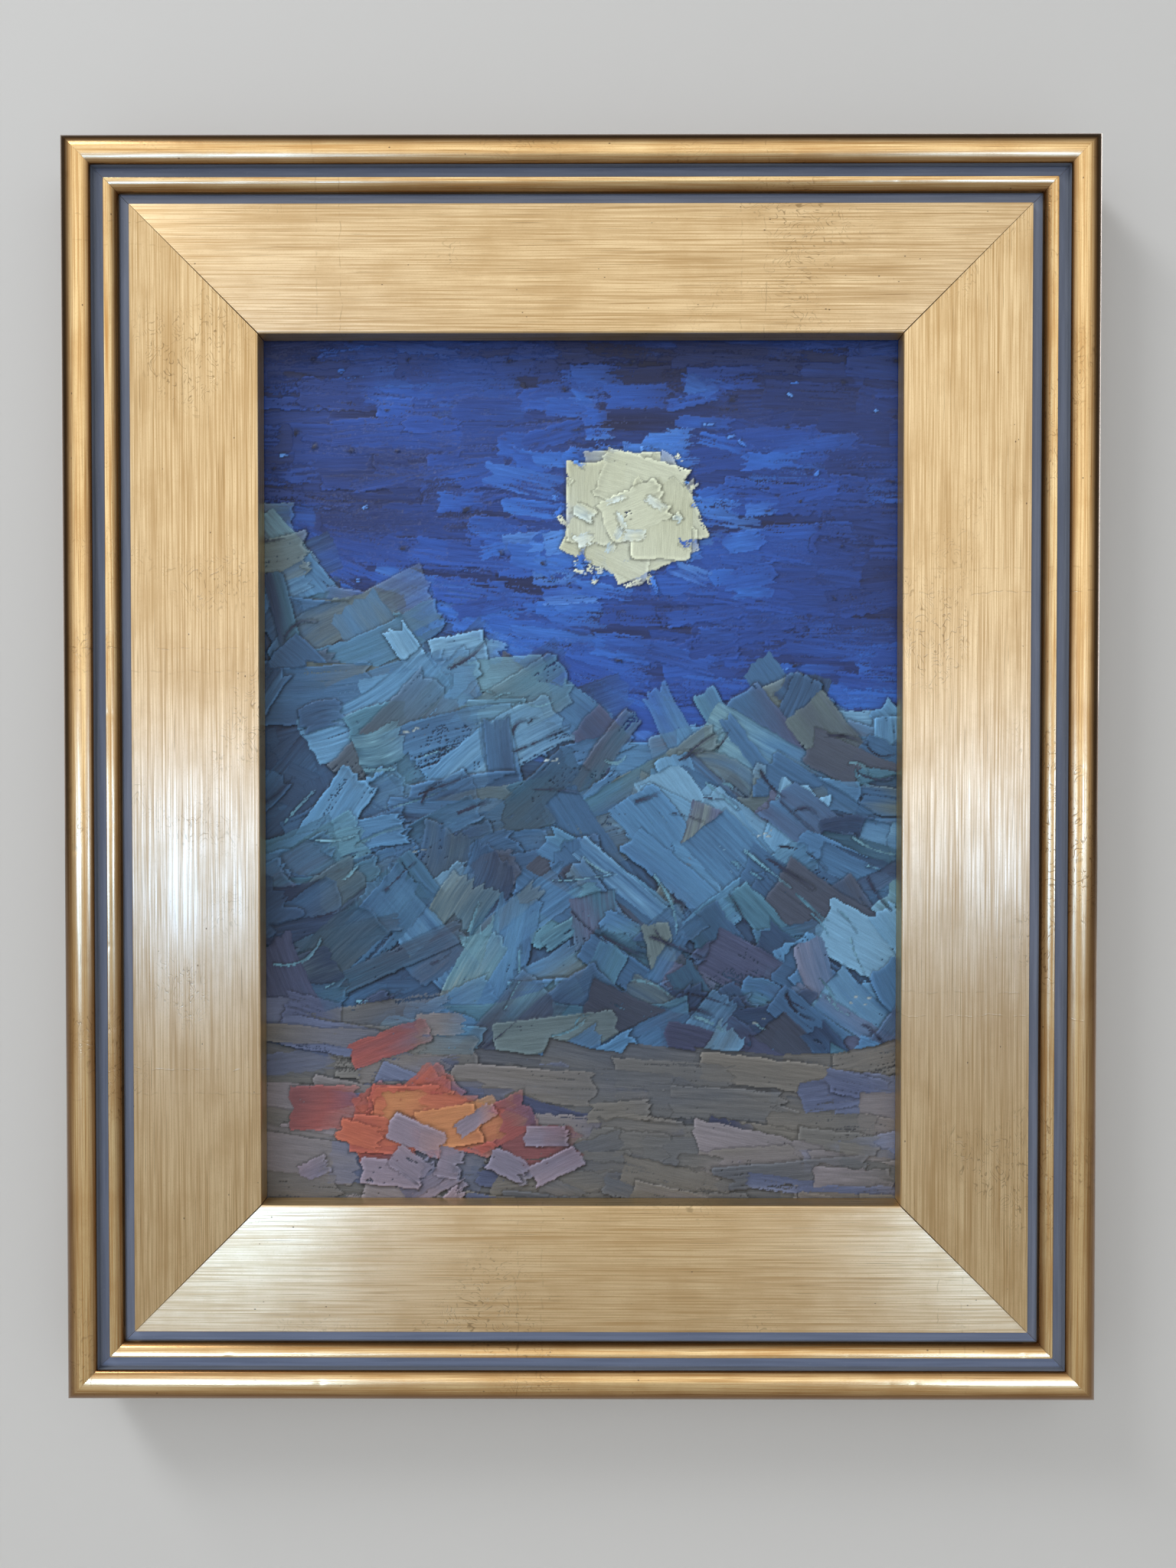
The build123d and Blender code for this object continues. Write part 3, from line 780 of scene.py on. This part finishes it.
def paint_moon(canvas):
    """Straight-edged slabs round a centre, so that the disc has corners, then a few dabs over them."""
    rng = canvas.rng
    for turn in (100, 20, 300, 235, 165, 60, 345):
        x, z = around_moon(math.radians(turn + rng.uniform(-8, 8)), 0.5, 0.48)
        size = (rng.uniform(1.15, 1.5) * MOON_RADIUS, rng.uniform(0.75, 0.95) * MOON_RADIUS)
        colours = canvas.pair(CREAM, 0.4, 0.7, 0.2)
        tilt = turn + 90 + rng.uniform(-16, 16)
        canvas.stroke(x, z, tilt, *size, *colours, 0.2, 0.0, 0.3, 1.2, streaky=0.3)
    colours = canvas.pair(CREAM, 0.6, 0.5)
    canvas.stroke(MOON[0] + 2, MOON[1] + 1, 24, 24, 15, *colours, 0.2, 0.0, 0.3, 1.2, streaky=0.3)
    for _ in range(9):
        turn, far = rng.uniform(0, 2 * math.pi), rng.uniform(0.15, 0.85)
        x, z = around_moon(turn, far, far)
        colours = (canvas.pick(PALE, 0.6, 0.3), canvas.pick(CREAM, 0.8, 0.2))
        tilt = rng.uniform(-70, 70)
        canvas.stroke(x, z, tilt, *canvas.size((4, 9), (2, 5)), *colours, 0.16, 0.3, 0.2)
    for _ in range(26):
        turn, far = rng.uniform(0, 2 * math.pi), rng.uniform(0.92, 1.12)
        x, z = around_moon(turn, far, far)
        palette, light = (SKY, 0.85) if rng.random() < 0.45 else (CREAM, 0.6)
        colour = canvas.pick(palette, light)
        size = canvas.size((2, 7), (1, 2.4))
        canvas.stroke(x, z, rng.uniform(-80, 80), *size, colour, colour, 0.12, 0.5, 0.12, 0.6)


def hill_direction(canvas, x, z, turned=0.12):
    """The way the knife goes on the hills, in degrees: up the slope, but across it for a share of strokes."""
    share = x / WIDTH
    slope = 27 - 60 * (share > 0.62 + 0.12 * math.sin(z / 23)) + 14 * math.sin(x / 31 + z / 19)
    if canvas.rng.random() < turned:
        slope += canvas.rng.choice([-70, 65])
    return slope + canvas.rng.normal(0, 16)


def hill_colours(canvas, x, z):
    """Two colours for a stroke on the hills: teal at the upper left, blue at the right, dusky low down."""
    rng = canvas.rng
    below = (skyline(x) - z) / HEIGHT
    light = 0.64 - 0.6 * below + 0.26 * math.sin(x / 23 + 1) * math.sin(z / 17) + rng.normal(0, 0.14)
    teal = 0.55 * math.exp(-x / 90)
    dusk = 0.12 + 0.9 * max(0, below - 0.28)
    shares = np.array([1.2, teal + 0.2, 0.18, dusk, 0.14])
    first, second = rng.choice(5, 2, p=shares / shares.sum())
    palettes = (HILLS, TEAL, OLIVE, DUSK, BROWN)
    if rng.random() < 0.5:
        second = first
    return canvas.pick(palettes[first], light), canvas.pick(palettes[second], light + rng.normal(0, 0.2))


def paint_hills(canvas):
    """A dark undercoat, a row of strokes along the ridge, strokes from the ridge down, and thin scratches."""
    rng = canvas.rng
    for z in np.arange(0.78 * HEIGHT, 0.1 * HEIGHT, -8):
        for x in np.arange(-4, WIDTH + 12, 19):
            if z < skyline(x) - 9:
                colours = canvas.pair(HILLS, 0.15, 0.3)
                size = canvas.size((32, 46), (11, 15))
                canvas.stroke(x, z, hill_direction(canvas, x, z), *size, *colours, 0.06, 0.0, 0.03)
    for x in np.arange(-8, WIDTH + 8, 11):
        slope = math.degrees(math.atan((skyline(x + 5) - skyline(x - 5)) / 10))
        width = rng.uniform(9, 16)
        z = skyline(x) - width * 0.55
        length = rng.uniform(18, 30)
        colours = hill_colours(canvas, x, z)
        tilt = slope + rng.normal(0, 9)
        canvas.stroke(x, z, tilt, length, width, *colours, rng.uniform(0.14, 0.24), 0.05, 0.2)
    places = []
    for _ in range(290):
        x, share = rng.uniform(-6, WIDTH + 6), rng.uniform(0, 1)
        top, bottom = skyline(x) - 8, field_edge(x) - 6
        places.append((bottom + (top - bottom) * share, x))
    for z, x in sorted(places, reverse=True):
        size = canvas.size((14, 56), (6, 20))
        thick, dry = rng.uniform(0.07, 0.3), max(0, rng.normal(0.06, 0.15))
        tilt, bend = hill_direction(canvas, x, z), rng.normal(0, 0.13)
        streaky = rng.uniform(0.5, 1.5)
        colours = hill_colours(canvas, x, z)
        canvas.stroke(x, z, tilt, *size, *colours, thick, dry, rng.uniform(0.05, 0.35), 1.2, bend, streaky)
    for _ in range(90):
        x = rng.uniform(5, WIDTH - 5)
        z = rng.uniform(field_edge(x), skyline(x) - 6)
        palette, light = (DARK, 0.7) if rng.random() < 0.5 else (TEAL, 0.8)
        colour = canvas.pick(palette, light)
        size = canvas.size((4, 22), (0.5, 1.3))
        tilt, bend = hill_direction(canvas, x, z, 0), rng.normal(0, 1.2)
        canvas.stroke(x, z, tilt, *size, colour, colour, 0.1, 0.35, 0.22, 0.6, bend)


def paint_ground(canvas):
    """Nearly level strokes of earth colours, from the field's edge down, with more dusk toward the edge."""
    rng = canvas.rng
    for z in np.arange(0.17 * HEIGHT, -4, -8):
        for x in np.arange(0, WIDTH + 15, 26):
            colours = canvas.pair(EARTH, 0.2, 0.4)
            tilt = rng.normal(-4, 5)
            canvas.stroke(x, z, tilt, *canvas.size((44, 60), (12, 15)), *colours, 0.06, 0.0, 0.03)
    places = [(rng.uniform(-6, WIDTH + 6), rng.uniform(-0.02, 1)) for _ in range(125)]
    for x, share in sorted(places, key=lambda place: -place[1]):
        z = share * field_edge(x) + rng.normal(0, 7) * share
        light = 0.55 + 0.1 * math.sin(x / 27) + 0.15 * rng.normal() - 0.1 * share
        palette = DUSK if rng.random() < 0.1 + 0.5 * share**2 else EARTH
        size = canvas.size((16, 60), (5, 16))
        colours = canvas.pair(palette, light, light + 0.15)
        thick, dry, ridge = rng.uniform(0.08, 0.2), rng.uniform(0, 0.35), rng.uniform(0.02, 0.18)
        tilt, streaky = rng.normal(-4, 8), rng.uniform(0.3, 1)
        canvas.stroke(x, z, tilt, *size, *colours, thick, dry, ridge, 1.5, streaky=streaky)


def paint_glow(canvas):
    """Warm light on the ground at the lower left."""
    rng = canvas.rng
    for i in range(34):
        spread = 1 - i / 52
        x, z = GLOW[0] + rng.normal(0, 21) * spread, GLOW[1] + rng.normal(0, 10) * spread
        near = bell(math.hypot((x - GLOW[0]) / 25, (z - GLOW[1]) / 14))
        light = 0.1 + 0.5 * near + (0.35 if i > 29 else 0)
        size = canvas.size((14, 30), (8, 16))
        colours = canvas.pair(FIRE, light - 0.08, light + 0.1)
        tilt, thick = rng.uniform(-20, 50), rng.uniform(0.08, 0.2)
        canvas.stroke(x, z, tilt, *size, *colours, thick, 0.06, 0.2, 1.3, streaky=0.5)
    for _ in range(14):
        x, z = GLOW[0] + rng.normal(10, 22), GLOW[1] - 8 + rng.normal(-4, 7)
        colours = canvas.pair(MAUVE, 0.6, 0.9, 0.2)
        size = canvas.size((8, 22), (5, 11))
        tilt, thick = rng.uniform(-50, 50), rng.uniform(0.12, 0.28)
        canvas.stroke(x, z, tilt, *size, *colours, thick, 0.1, 0.35, streaky=0.4)


def paint_flecks(canvas):
    """Small pale specks in loose groups of four."""
    rng = canvas.rng
    for _ in range(6):
        x, z = rng.uniform(8, WIDTH - 8), rng.uniform(0.05, 0.55) * HEIGHT
        colour = canvas.pick(PALE, 0.4)
        for _ in range(4):
            near = (x + rng.normal(0, 2.2), z + rng.normal(0, 0.8))
            canvas.stroke(*near, 0, *canvas.size((0.8, 2.2), (0.5, 0.9)), colour, colour, 0.05, 0, 0, 0.2)


def paint_shade_and_highlight(canvas):
    """Darkens the paint in hollows and pales it on ridges: painted shade and painted highlight that follow
    the relief.
    """
    around = canvas.height
    for axis in (0, 1):
        around = sum(np.roll(around, step, axis) for step in range(-3, 4)) / 7
    stands_out = np.clip((canvas.height - around) / 0.1, -1, 1)
    # painted shade in the hollows, painted highlight on the ridges
    canvas.colour = canvas.colour * (1 + np.where(stands_out > 0, 0.35, 0.5) * stands_out)[..., None]


def painted_canvas():
    canvas = Canvas(seed=20)
    paint_sky(canvas)
    paint_moon(canvas)
    paint_hills(canvas)
    paint_ground(canvas)
    paint_glow(canvas)
    paint_flecks(canvas)
    paint_shade_and_highlight(canvas)
    canvas.height = np.clip(RELIEF * canvas.height, 0.03, PAINT_DEPTH - 0.02)
    return canvas


def make_painting():
    canvas = painted_canvas()
    x = PAINT_LOW.x + canvas.x * MM
    z = PAINT_LOW.z + canvas.z * MM
    front = PAINT_HIGH.y - canvas.height * MM
    grid = np.stack(np.broadcast_arrays(x[None, :], front, z[:, None]), -1)
    points, faces = relief_slab(grid, PAINT_HIGH.y)
    piece = mesh_object("oil_painting", points, faces, [oil_paint()])
    painted = canvas.height.size
    colours = np.ones((len(points), 4))
    colours[:painted, :3] = canvas.colour.reshape(-1, 3)
    colours[painted:, :3] = srgb(120, 100, 80)
    grain = np.zeros((len(points), 3))
    grain[:painted] = canvas.grain.reshape(-1, 3)
    mesh = piece.data
    mesh.color_attributes.new("paint", "FLOAT_COLOR", "POINT").data.foreach_set("color", colours.ravel())
    mesh.attributes.new("grain", "FLOAT_VECTOR", "POINT").data.foreach_set("vector", grain.ravel())
    stand_in(piece, "oil_paint_layer")
    return piece


# ---- The back: board and wire ----

HINGE = {joint["child"]: Vector(joint["pos_m"]) for joint in frame["joints"] if "ring" in joint["child"]}
RING_ARC_X = 6.5 * MM  # hinge to the centre of the ring's arc
RING_ARC = 9.5 * MM
RING_TILT = math.radians(2.5)
RING_WIRE_RADIUS = 1.2 * MM
WIRE_RADIUS = 0.5 * MM
LOOP_RADIUS = RING_WIRE_RADIUS + 0.15 * MM + WIRE_RADIUS
STRAND_RADIUS = 0.25 * MM
STRAND_PITCH = 4.5 * MM
WIRE_SAG = 36 * MM
WIRE_MIDDLE_Y = 1.7 * MM
WIRE_STEPS = 150
COIL_RADIUS = 0.92 * MM
COIL_WIRE_RADIUS = 0.42 * MM
TAIL_LENGTH = 30 * MM
TAIL_STEPS = 400
TAIL_HIDDEN_STEPS = 20  # at the ring, inside the loop
FLUTE = 7.3 * MM


def tube(points, radius, sides=8):
    """Vertices and faces of a closed round tube along a line of points."""
    points = np.asarray(points, float)
    tangents = unit(np.gradient(points, axis=0))
    normal = np.cross(tangents[0], (0.3, 0.9, 0.2))
    angles = np.linspace(0, 2 * math.pi, sides, endpoint=False)
    rings = []
    for point, tangent in zip(points, tangents):
        normal = unit(normal - tangent * (normal @ tangent))
        side = np.cross(tangent, normal)
        rings.append(point + radius * (np.cos(angles)[:, None] * normal + np.sin(angles)[:, None] * side))
    return np.concatenate(rings), sleeve_faces(len(points), sides)


def winding(line, radius, pitch, phase=0.0):
    """A helix round a line of points. pitch is one length, or one for each point."""
    line = np.asarray(line, float)
    steps = np.linalg.norm(np.diff(line, axis=0), axis=1)
    turns = np.cumsum(np.concatenate([[0], steps / np.broadcast_to(pitch, len(line))[1:]]))
    tangent = unit(np.gradient(line, axis=0))
    across = unit(np.cross(tangent, (0, 1, 0)))
    up = np.cross(across, tangent)
    angle = phase + 2 * math.pi * turns
    return line + radius * (np.cos(angle)[:, None] * across + np.sin(angle)[:, None] * up)


def braid(line):
    """Three strands wound round a line."""
    phases = [strand * 2 * math.pi / 3 for strand in range(3)]
    lines = [winding(line, 1.02 * STRAND_RADIUS, STRAND_PITCH, phase) for phase in phases]
    return [tube(strand, STRAND_RADIUS, 7) for strand in lines]


def join_shapes(shapes):
    vertices, faces, first = [], [], 0
    for points, polygons in shapes:
        vertices.append(points)
        faces += [tuple(first + i for i in polygon) for polygon in polygons]
        first += len(points)
    return np.concatenate(vertices), faces


def wire_line(leave):
    """The wire's centre line, from where it leaves its loop to the frame's middle, sagging between."""
    share = np.linspace(1, 0, WIRE_STEPS)
    x = share * leave[0]
    y = WIRE_MIDDLE_Y + (leave[1] - WIRE_MIDDLE_Y) * share**8
    z = leave[2] - WIRE_SAG * (1 - share**2)
    return np.stack([x, y, z], -1)


def wrapped_tail(line):
    """The wire's end, wound round its own line: tight by the ring, and opening out further along."""
    steps = np.linalg.norm(np.diff(line, axis=0), axis=1)
    travelled = np.concatenate([[0], np.cumsum(steps)])
    at = np.linspace(0, TAIL_LENGTH, TAIL_STEPS)[TAIL_HIDDEN_STEPS:]
    core = np.stack([np.interp(at, travelled, line[:, axis]) for axis in range(3)], -1)
    pitch = np.interp(np.arange(len(at)), (0, 190, 300, 380), (0.95 * MM, 1.0 * MM, 2.6 * MM, 5 * MM))
    return tube(winding(core, COIL_RADIUS, pitch), COIL_WIRE_RADIUS)


def make_wire_half(side, name, material):
    """Half the hanging wire, from its loop round a ring to the middle. side is -1 on the left."""
    ring = "hanger_ring_" + name
    hinge = HINGE[ring]
    span = abs(hinge.x) - RING_ARC_X - RING_ARC
    leave = math.atan(2 * WIRE_SAG / span)
    inward, lift = math.cos(RING_TILT), math.sin(RING_TILT)

    def on_ring(x, z, out):
        """A point in the ring's plane: x inward from the hinge, z up, out from the wall side."""
        return (hinge.x - side * (x * inward - out * lift), hinge.y + x * lift + out * inward, hinge.z + z)

    towards = np.array((math.cos(leave), -math.sin(leave)))
    centre = np.array((RING_ARC_X, 0)) + towards * RING_ARC
    loop = []
    for turn in np.linspace(0, 2 * math.pi, 49):
        x, z = centre + towards * LOOP_RADIUS * math.cos(turn)
        loop.append(on_ring(x, z, LOOP_RADIUS * math.sin(turn)))
    line = wire_line(loop[0])
    shapes = braid(line) + braid(loop) + [wrapped_tail(line)]
    piece = mesh_object(f"wire_{name}", *join_shapes(shapes), [material])
    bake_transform(piece)
    return piece


def make_wire():
    material = bright_metal("wire_steel", srgb(176, 174, 168), 0.34, 1600)
    left = make_wire_half(-1, "left", material)
    make_wire_half(1, "right", material)
    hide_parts("hanging_wire")


def make_backing_board():
    """Corrugated board: its liner shows the flutes as faint waves, and its sides are a little crushed."""
    x = np.linspace(BOARD_HIGH.x, BOARD_LOW.x, 300)
    z = np.linspace(BOARD_LOW.z, BOARD_HIGH.z, 60)
    wave = 0.07 * MM * np.sin(2 * math.pi * x / FLUTE)
    warp = 0.05 * MM * np.sin(z[:, None] * 21) * np.sin(x[None, :] * 17 + 1)
    edge = np.minimum(x - BOARD_LOW.x, BOARD_HIGH.x - x)
    crushed = 0.35 * MM * np.exp(-edge / (1.2 * MM))
    back = BOARD_HIGH.y - 0.13 * MM + wave[None, :] + warp - crushed[None, :]
    grid = np.stack(np.broadcast_arrays(x[None, :], back, z[:, None]), -1)
    piece = mesh_object("kraft_backing_board", *relief_slab(grid, BOARD_LOW.y), [kraft()])
    keep_crisp(piece, 40)
    stand_in(piece, "backing_board")


# ---- Materials of the painting, the back and the hardware ----


def oil_paint():
    """Each stroke's own colour, with the fine drag lines that the knife leaves along it."""
    t = material_tree("oil_paint")
    grain = t.add("Attribute", attribute_name="grain").outputs["Vector"]
    colour = t.add("Attribute", attribute_name="paint").outputs["Color"]
    hair = t.noise(grain, (2.6, 0.16, 1), 3, 0.6)
    tooth = t.noise(t.place(), 2600)
    shade = t.times(t.between(hair, 0.28, 0.72, 0.92, 1.08), t.between(tooth, 0.3, 0.7, 0.96, 1.04))
    height = t.plus(hair, t.times(tooth, 0.35))
    return t.finish(
        Base_Color=t.add("VectorMath", {0: colour, "Scale": shade}, operation="SCALE").outputs[0],
        Roughness=t.between(hair, 0.3, 0.7, 0.3, 0.42),
        Specular_IOR_Level=0.3,
        Normal=t.bump(height, 0.12 * MM, 0.8),
    )


def kraft():
    t = material_tree("kraft_paper")
    place = t.place()
    fibres = t.noise(place, (1700, 900, 500), 4, 0.6)
    cross = t.noise(place, (500, 900, 2400), 3, 0.6, shift=(3, 1, 0))
    cloud = t.noise(place, 28, 3)
    flute = t.math("SINE", t.times(t.split(place)[0], 2 * math.pi / FLUTE))
    base = t.mix(t.between(fibres, 0.35, 0.65), srgb(180, 144, 102), srgb(196, 162, 118))
    base = t.tint(base, cross, 0.62, 0.72, 0.35, srgb(146, 112, 78))
    base = t.tint(base, cross, 0.36, 0.28, 0.35, srgb(216, 188, 148))
    base = t.tint(base, cloud, 0.35, 0.7, 0.3, srgb(180, 140, 96))
    # painted shade: darker in the hollows between the flutes
    base = t.mix(t.between(flute, -1, 1, 0.2, 0), base, srgb(150, 114, 78))
    bump = t.bump(t.plus(fibres, cross), 0.06 * MM, 0.7)
    return t.finish(Base_Color=base, Roughness=0.86, Normal=bump, Specular_IOR_Level=0.25)


def hardboard():
    t = material_tree("tempered_hardboard")
    place = t.place()
    fibre = t.noise(place, 900, 5, 0.7)
    cloud = t.noise(place, 60, 3)
    base = t.mix(t.between(fibre, 0.3, 0.7), srgb(84, 58, 38), srgb(132, 96, 64))
    base = t.tint(base, cloud, 0.4, 0.7, 0.3, srgb(70, 48, 32))
    return t.finish(Base_Color=base, Roughness=0.7, Normal=t.bump(fibre, 0.08 * MM, 0.6))


def bright_metal(name, colour, roughness, scratch_scale, edge=0.12 * MM):
    """Plated steel with rounded edges, fine scratches and slightly dulled patches."""
    t = material_tree(name)
    place = t.place()
    long_way = t.noise(place, (scratch_scale, scratch_scale, scratch_scale / 12), 3)
    cross_way = t.noise(place, (scratch_scale / 10, scratch_scale, scratch_scale), 3, shift=(2, 0, 0))
    dull = t.noise(place, 220, 4)
    pit = t.between(t.noise(place, 1500), 0.68, 0.76)
    base = t.tint(colour, dull, 0.35, 0.7, 0.5, darker(colour, 0.72))
    base = t.mix(t.times(pit, 0.5), base, darker(colour, 0.4))
    return t.finish(
        Base_Color=base,
        Metallic=1.0,
        Roughness=t.between(dull, 0.3, 0.7, roughness - 0.06, roughness + 0.1),
        Normal=t.bump(t.plus(long_way, cross_way), 0.02 * MM, 0.5, edge),
    )


def soft_rubber():
    t = material_tree("soft_rubber")
    place = t.place()
    bloom = t.noise(place, 160, 4)
    grain = t.noise(place, 2600, 3)
    base = t.mix(t.between(bloom, 0.35, 0.7), srgb(44, 43, 42), srgb(66, 64, 62))
    return t.finish(Base_Color=base, Roughness=0.62, Normal=t.bump(grain, 0.04 * MM, 0.7, 0.5 * MM))


def dress_cad_nodes():
    """Gives each CAD node that stays its own finish."""
    plate = bright_metal("button_plating", srgb(206, 198, 178), 0.3, 900)
    strap = bright_metal("hanger_plating", srgb(196, 194, 190), 0.28, 900)
    screw = bright_metal("screw_plating", srgb(204, 182, 128), 0.26, 1100, 0.15 * MM)
    pin = bright_metal("underpin_plating", srgb(150, 150, 148), 0.4, 900, 0.05 * MM)
    finishes = {"turn_button_screws": screw, "hanger_screws": screw, "corner_underpins": pin}
    finishes["painting_panel"] = hardboard()
    rubber = soft_rubber()
    for name, node in frame["nodes"].items():
        finish = finishes.get(name)
        if finish is None:
            finish = rubber if "bumper" in name else strap if "hanger" in name else plate
        node.data.materials.clear()
        node.data.materials.append(finish)


# ---- Stage ----

CAMERA_PLACE = Vector((0.0037, -0.407, 0.2108))
CAMERA_PITCH = 0.85
CAMERA_YAW = 0.18
CAMERA_LENS = 27.07
SENSOR = 36.0
WALL_Y = BOARD_HIGH.y + 6 * MM
FLOOR_Z = -0.1
STAGE_SIZE = 8.0
SEEN_ROOM = (0.83, 0.83, 0.82)

# The room's light, from straight before the frame (0) to straight behind it (1).
ROOM_BEFORE = ((0.0, 1.12), (0.06, 1.12), (0.12, 0.95), (0.2, 0.8), (0.3, 0.45))
ROOM_BEHIND = ((0.45, 0.08), (0.68, 0.08), (0.85, 0.8))


def stage_plane(name, place, rotation, material):
    half = STAGE_SIZE / 2
    corners = [(-half, -half, 0), (half, -half, 0), (half, half, 0), (-half, half, 0)]
    mesh = bpy.data.meshes.new(name)
    mesh.from_pydata(corners, [], [(0, 1, 2, 3)])
    mesh.materials.append(material)
    plane = add_object(name, mesh)
    plane.location = place
    plane.rotation_euler = rotation
    return plane


def make_stage():
    """A pale floor, and the pale plane that the frame lies against, which is seen only from the front."""
    t = material_tree("pale_floor")
    grain = t.noise(t.place(), 35, 3)
    grey = t.mix(t.between(grain, 0.3, 0.7), (0.62, 0.62, 0.61), (0.66, 0.66, 0.65))
    stage_plane("floor", (0, 0, FLOOR_Z), (0, 0, 0), t.finish(Roughness=0.8, Base_Color=grey))
    t = material_tree("pale_wall")
    paint = t.finish(Roughness=0.8, Base_Color=(0.64, 0.64, 0.63, 1))
    seen_from_behind = t.add("NewGeometry").outputs["Backfacing"]
    front, clear = t.nodes["Principled BSDF"].outputs[0], t.add("BsdfTransparent").outputs[0]
    both = t.add("MixShader", {0: seen_from_behind, 1: front, 2: clear}).outputs[0]
    t.set(t.nodes["Material Output"], {"Surface": both})
    wall = stage_plane("wall", (0, WALL_Y, 0), (math.pi / 2, 0, 0), paint)
    wall.visible_shadow = False
    wall.visible_diffuse = False
    wall.visible_glossy = False


def area_light(name, place, target, width, height, power, colour=(1, 1, 1)):
    data = bpy.data.lights.new(name, "AREA")
    data.shape = "RECTANGLE"
    data.size = width
    data.size_y = height
    data.energy = power
    data.color = colour
    lamp = add_object(name, data)
    lamp.location = place
    lamp.rotation_euler = (Vector(target) - Vector(place)).to_track_quat("-Z", "Y").to_euler()
    return lamp


def make_world():
    """A soft room, bright before the frame and dim to its sides. The camera sees it plain and pale."""
    world = bpy.data.worlds.new("soft_room")
    bpy.context.scene.world = world
    t = Tree(world)
    backward = t.split(t.add("TexCoord").outputs["Generated"])[1]
    ramp = t.add("ValToRGB", {0: t.add("MapRange", {"Value": backward, "From Min": -1.0}).outputs[0]})
    stops = ramp.color_ramp.elements
    ramp.color_ramp.interpolation = "EASE"
    room = ROOM_BEFORE + ROOM_BEHIND
    while len(stops) < len(room):
        stops.new(0.5)
    for stop, (place, light) in zip(stops, room):
        stop.position = place
        stop.color = (light, light, light, 1)
    seen = t.add("LightPath").outputs["Is Camera Ray"]
    t.set(t.nodes["Background"], {"Color": t.mix(seen, ramp.outputs[0], SEEN_ROOM)})


def light_only(name, lamps, pieces):
    """Makes lamps that fall on these pieces alone."""
    group = bpy.data.collections.new(name)
    for piece in pieces:
        group.objects.link(piece)
    for lamp in lamps:
        lamp.light_linking.receiver_collection = group


def make_light(rails, painting):
    """Lamps for the whole scene, and lamps that give single pieces the sheen and shadows of the photo."""
    make_world()
    centre = (0, 0, MIDDLE_Z)
    low_left, low_right = (-0.1, 0, 0.03), (0.1, 0, 0.03)
    area_light("key", (-1.4, -1.1, 2.1), centre, 0.9, 0.6, 30, (0.95, 0.97, 1))
    cool_sheen = [
        area_light("sheen_left", (-0.62, -1.5, 0.06), centre, 0.5, 0.24, 3.9, (0.16, 0.34, 0.86)),
        area_light("sheen_right", (0.72, -1.5, 0.1), centre, 0.4, 0.22, 3.0, (0.18, 0.34, 0.8)),
    ]
    low_sheen = [
        area_light("sheen_low_left", (-0.3, -0.6, -0.07), low_left, 0.16, 0.05, 0.56, (0.27, 0.5, 1)),
        area_light("sheen_low_right", (0.34, -0.6, -0.07), low_right, 0.14, 0.05, 0.46, (0.27, 0.5, 1)),
    ]
    raking = area_light("raking", (-1.1, -0.45, 1.35), centre, 0.25, 0.25, 14, (0.95, 0.98, 1))
    light_only("all_rails", cool_sheen, rails)
    light_only("bottom_rail_only", low_sheen, rails[:1])
    light_only("painting_only", [raking], [painting])
    area_light("back_fill", (0.9, 1.6, 0.9), centre, 1.2, 1.2, 14)


def make_camera():
    data = bpy.data.cameras.new("camera")
    data.sensor_width = SENSOR
    data.lens = CAMERA_LENS
    data.clip_start = 0.01
    camera = add_object("camera", data)
    camera.location = CAMERA_PLACE
    camera.rotation_euler = (math.radians(90 - CAMERA_PITCH), 0, math.radians(CAMERA_YAW))
    bpy.context.scene.camera = camera
    bpy.context.scene.view_settings.view_transform = "Standard"


dress_cad_nodes()
rails = make_rails()
painting = make_painting()
make_backing_board()
make_wire()
make_stage()
make_light(rails, painting)
make_camera()
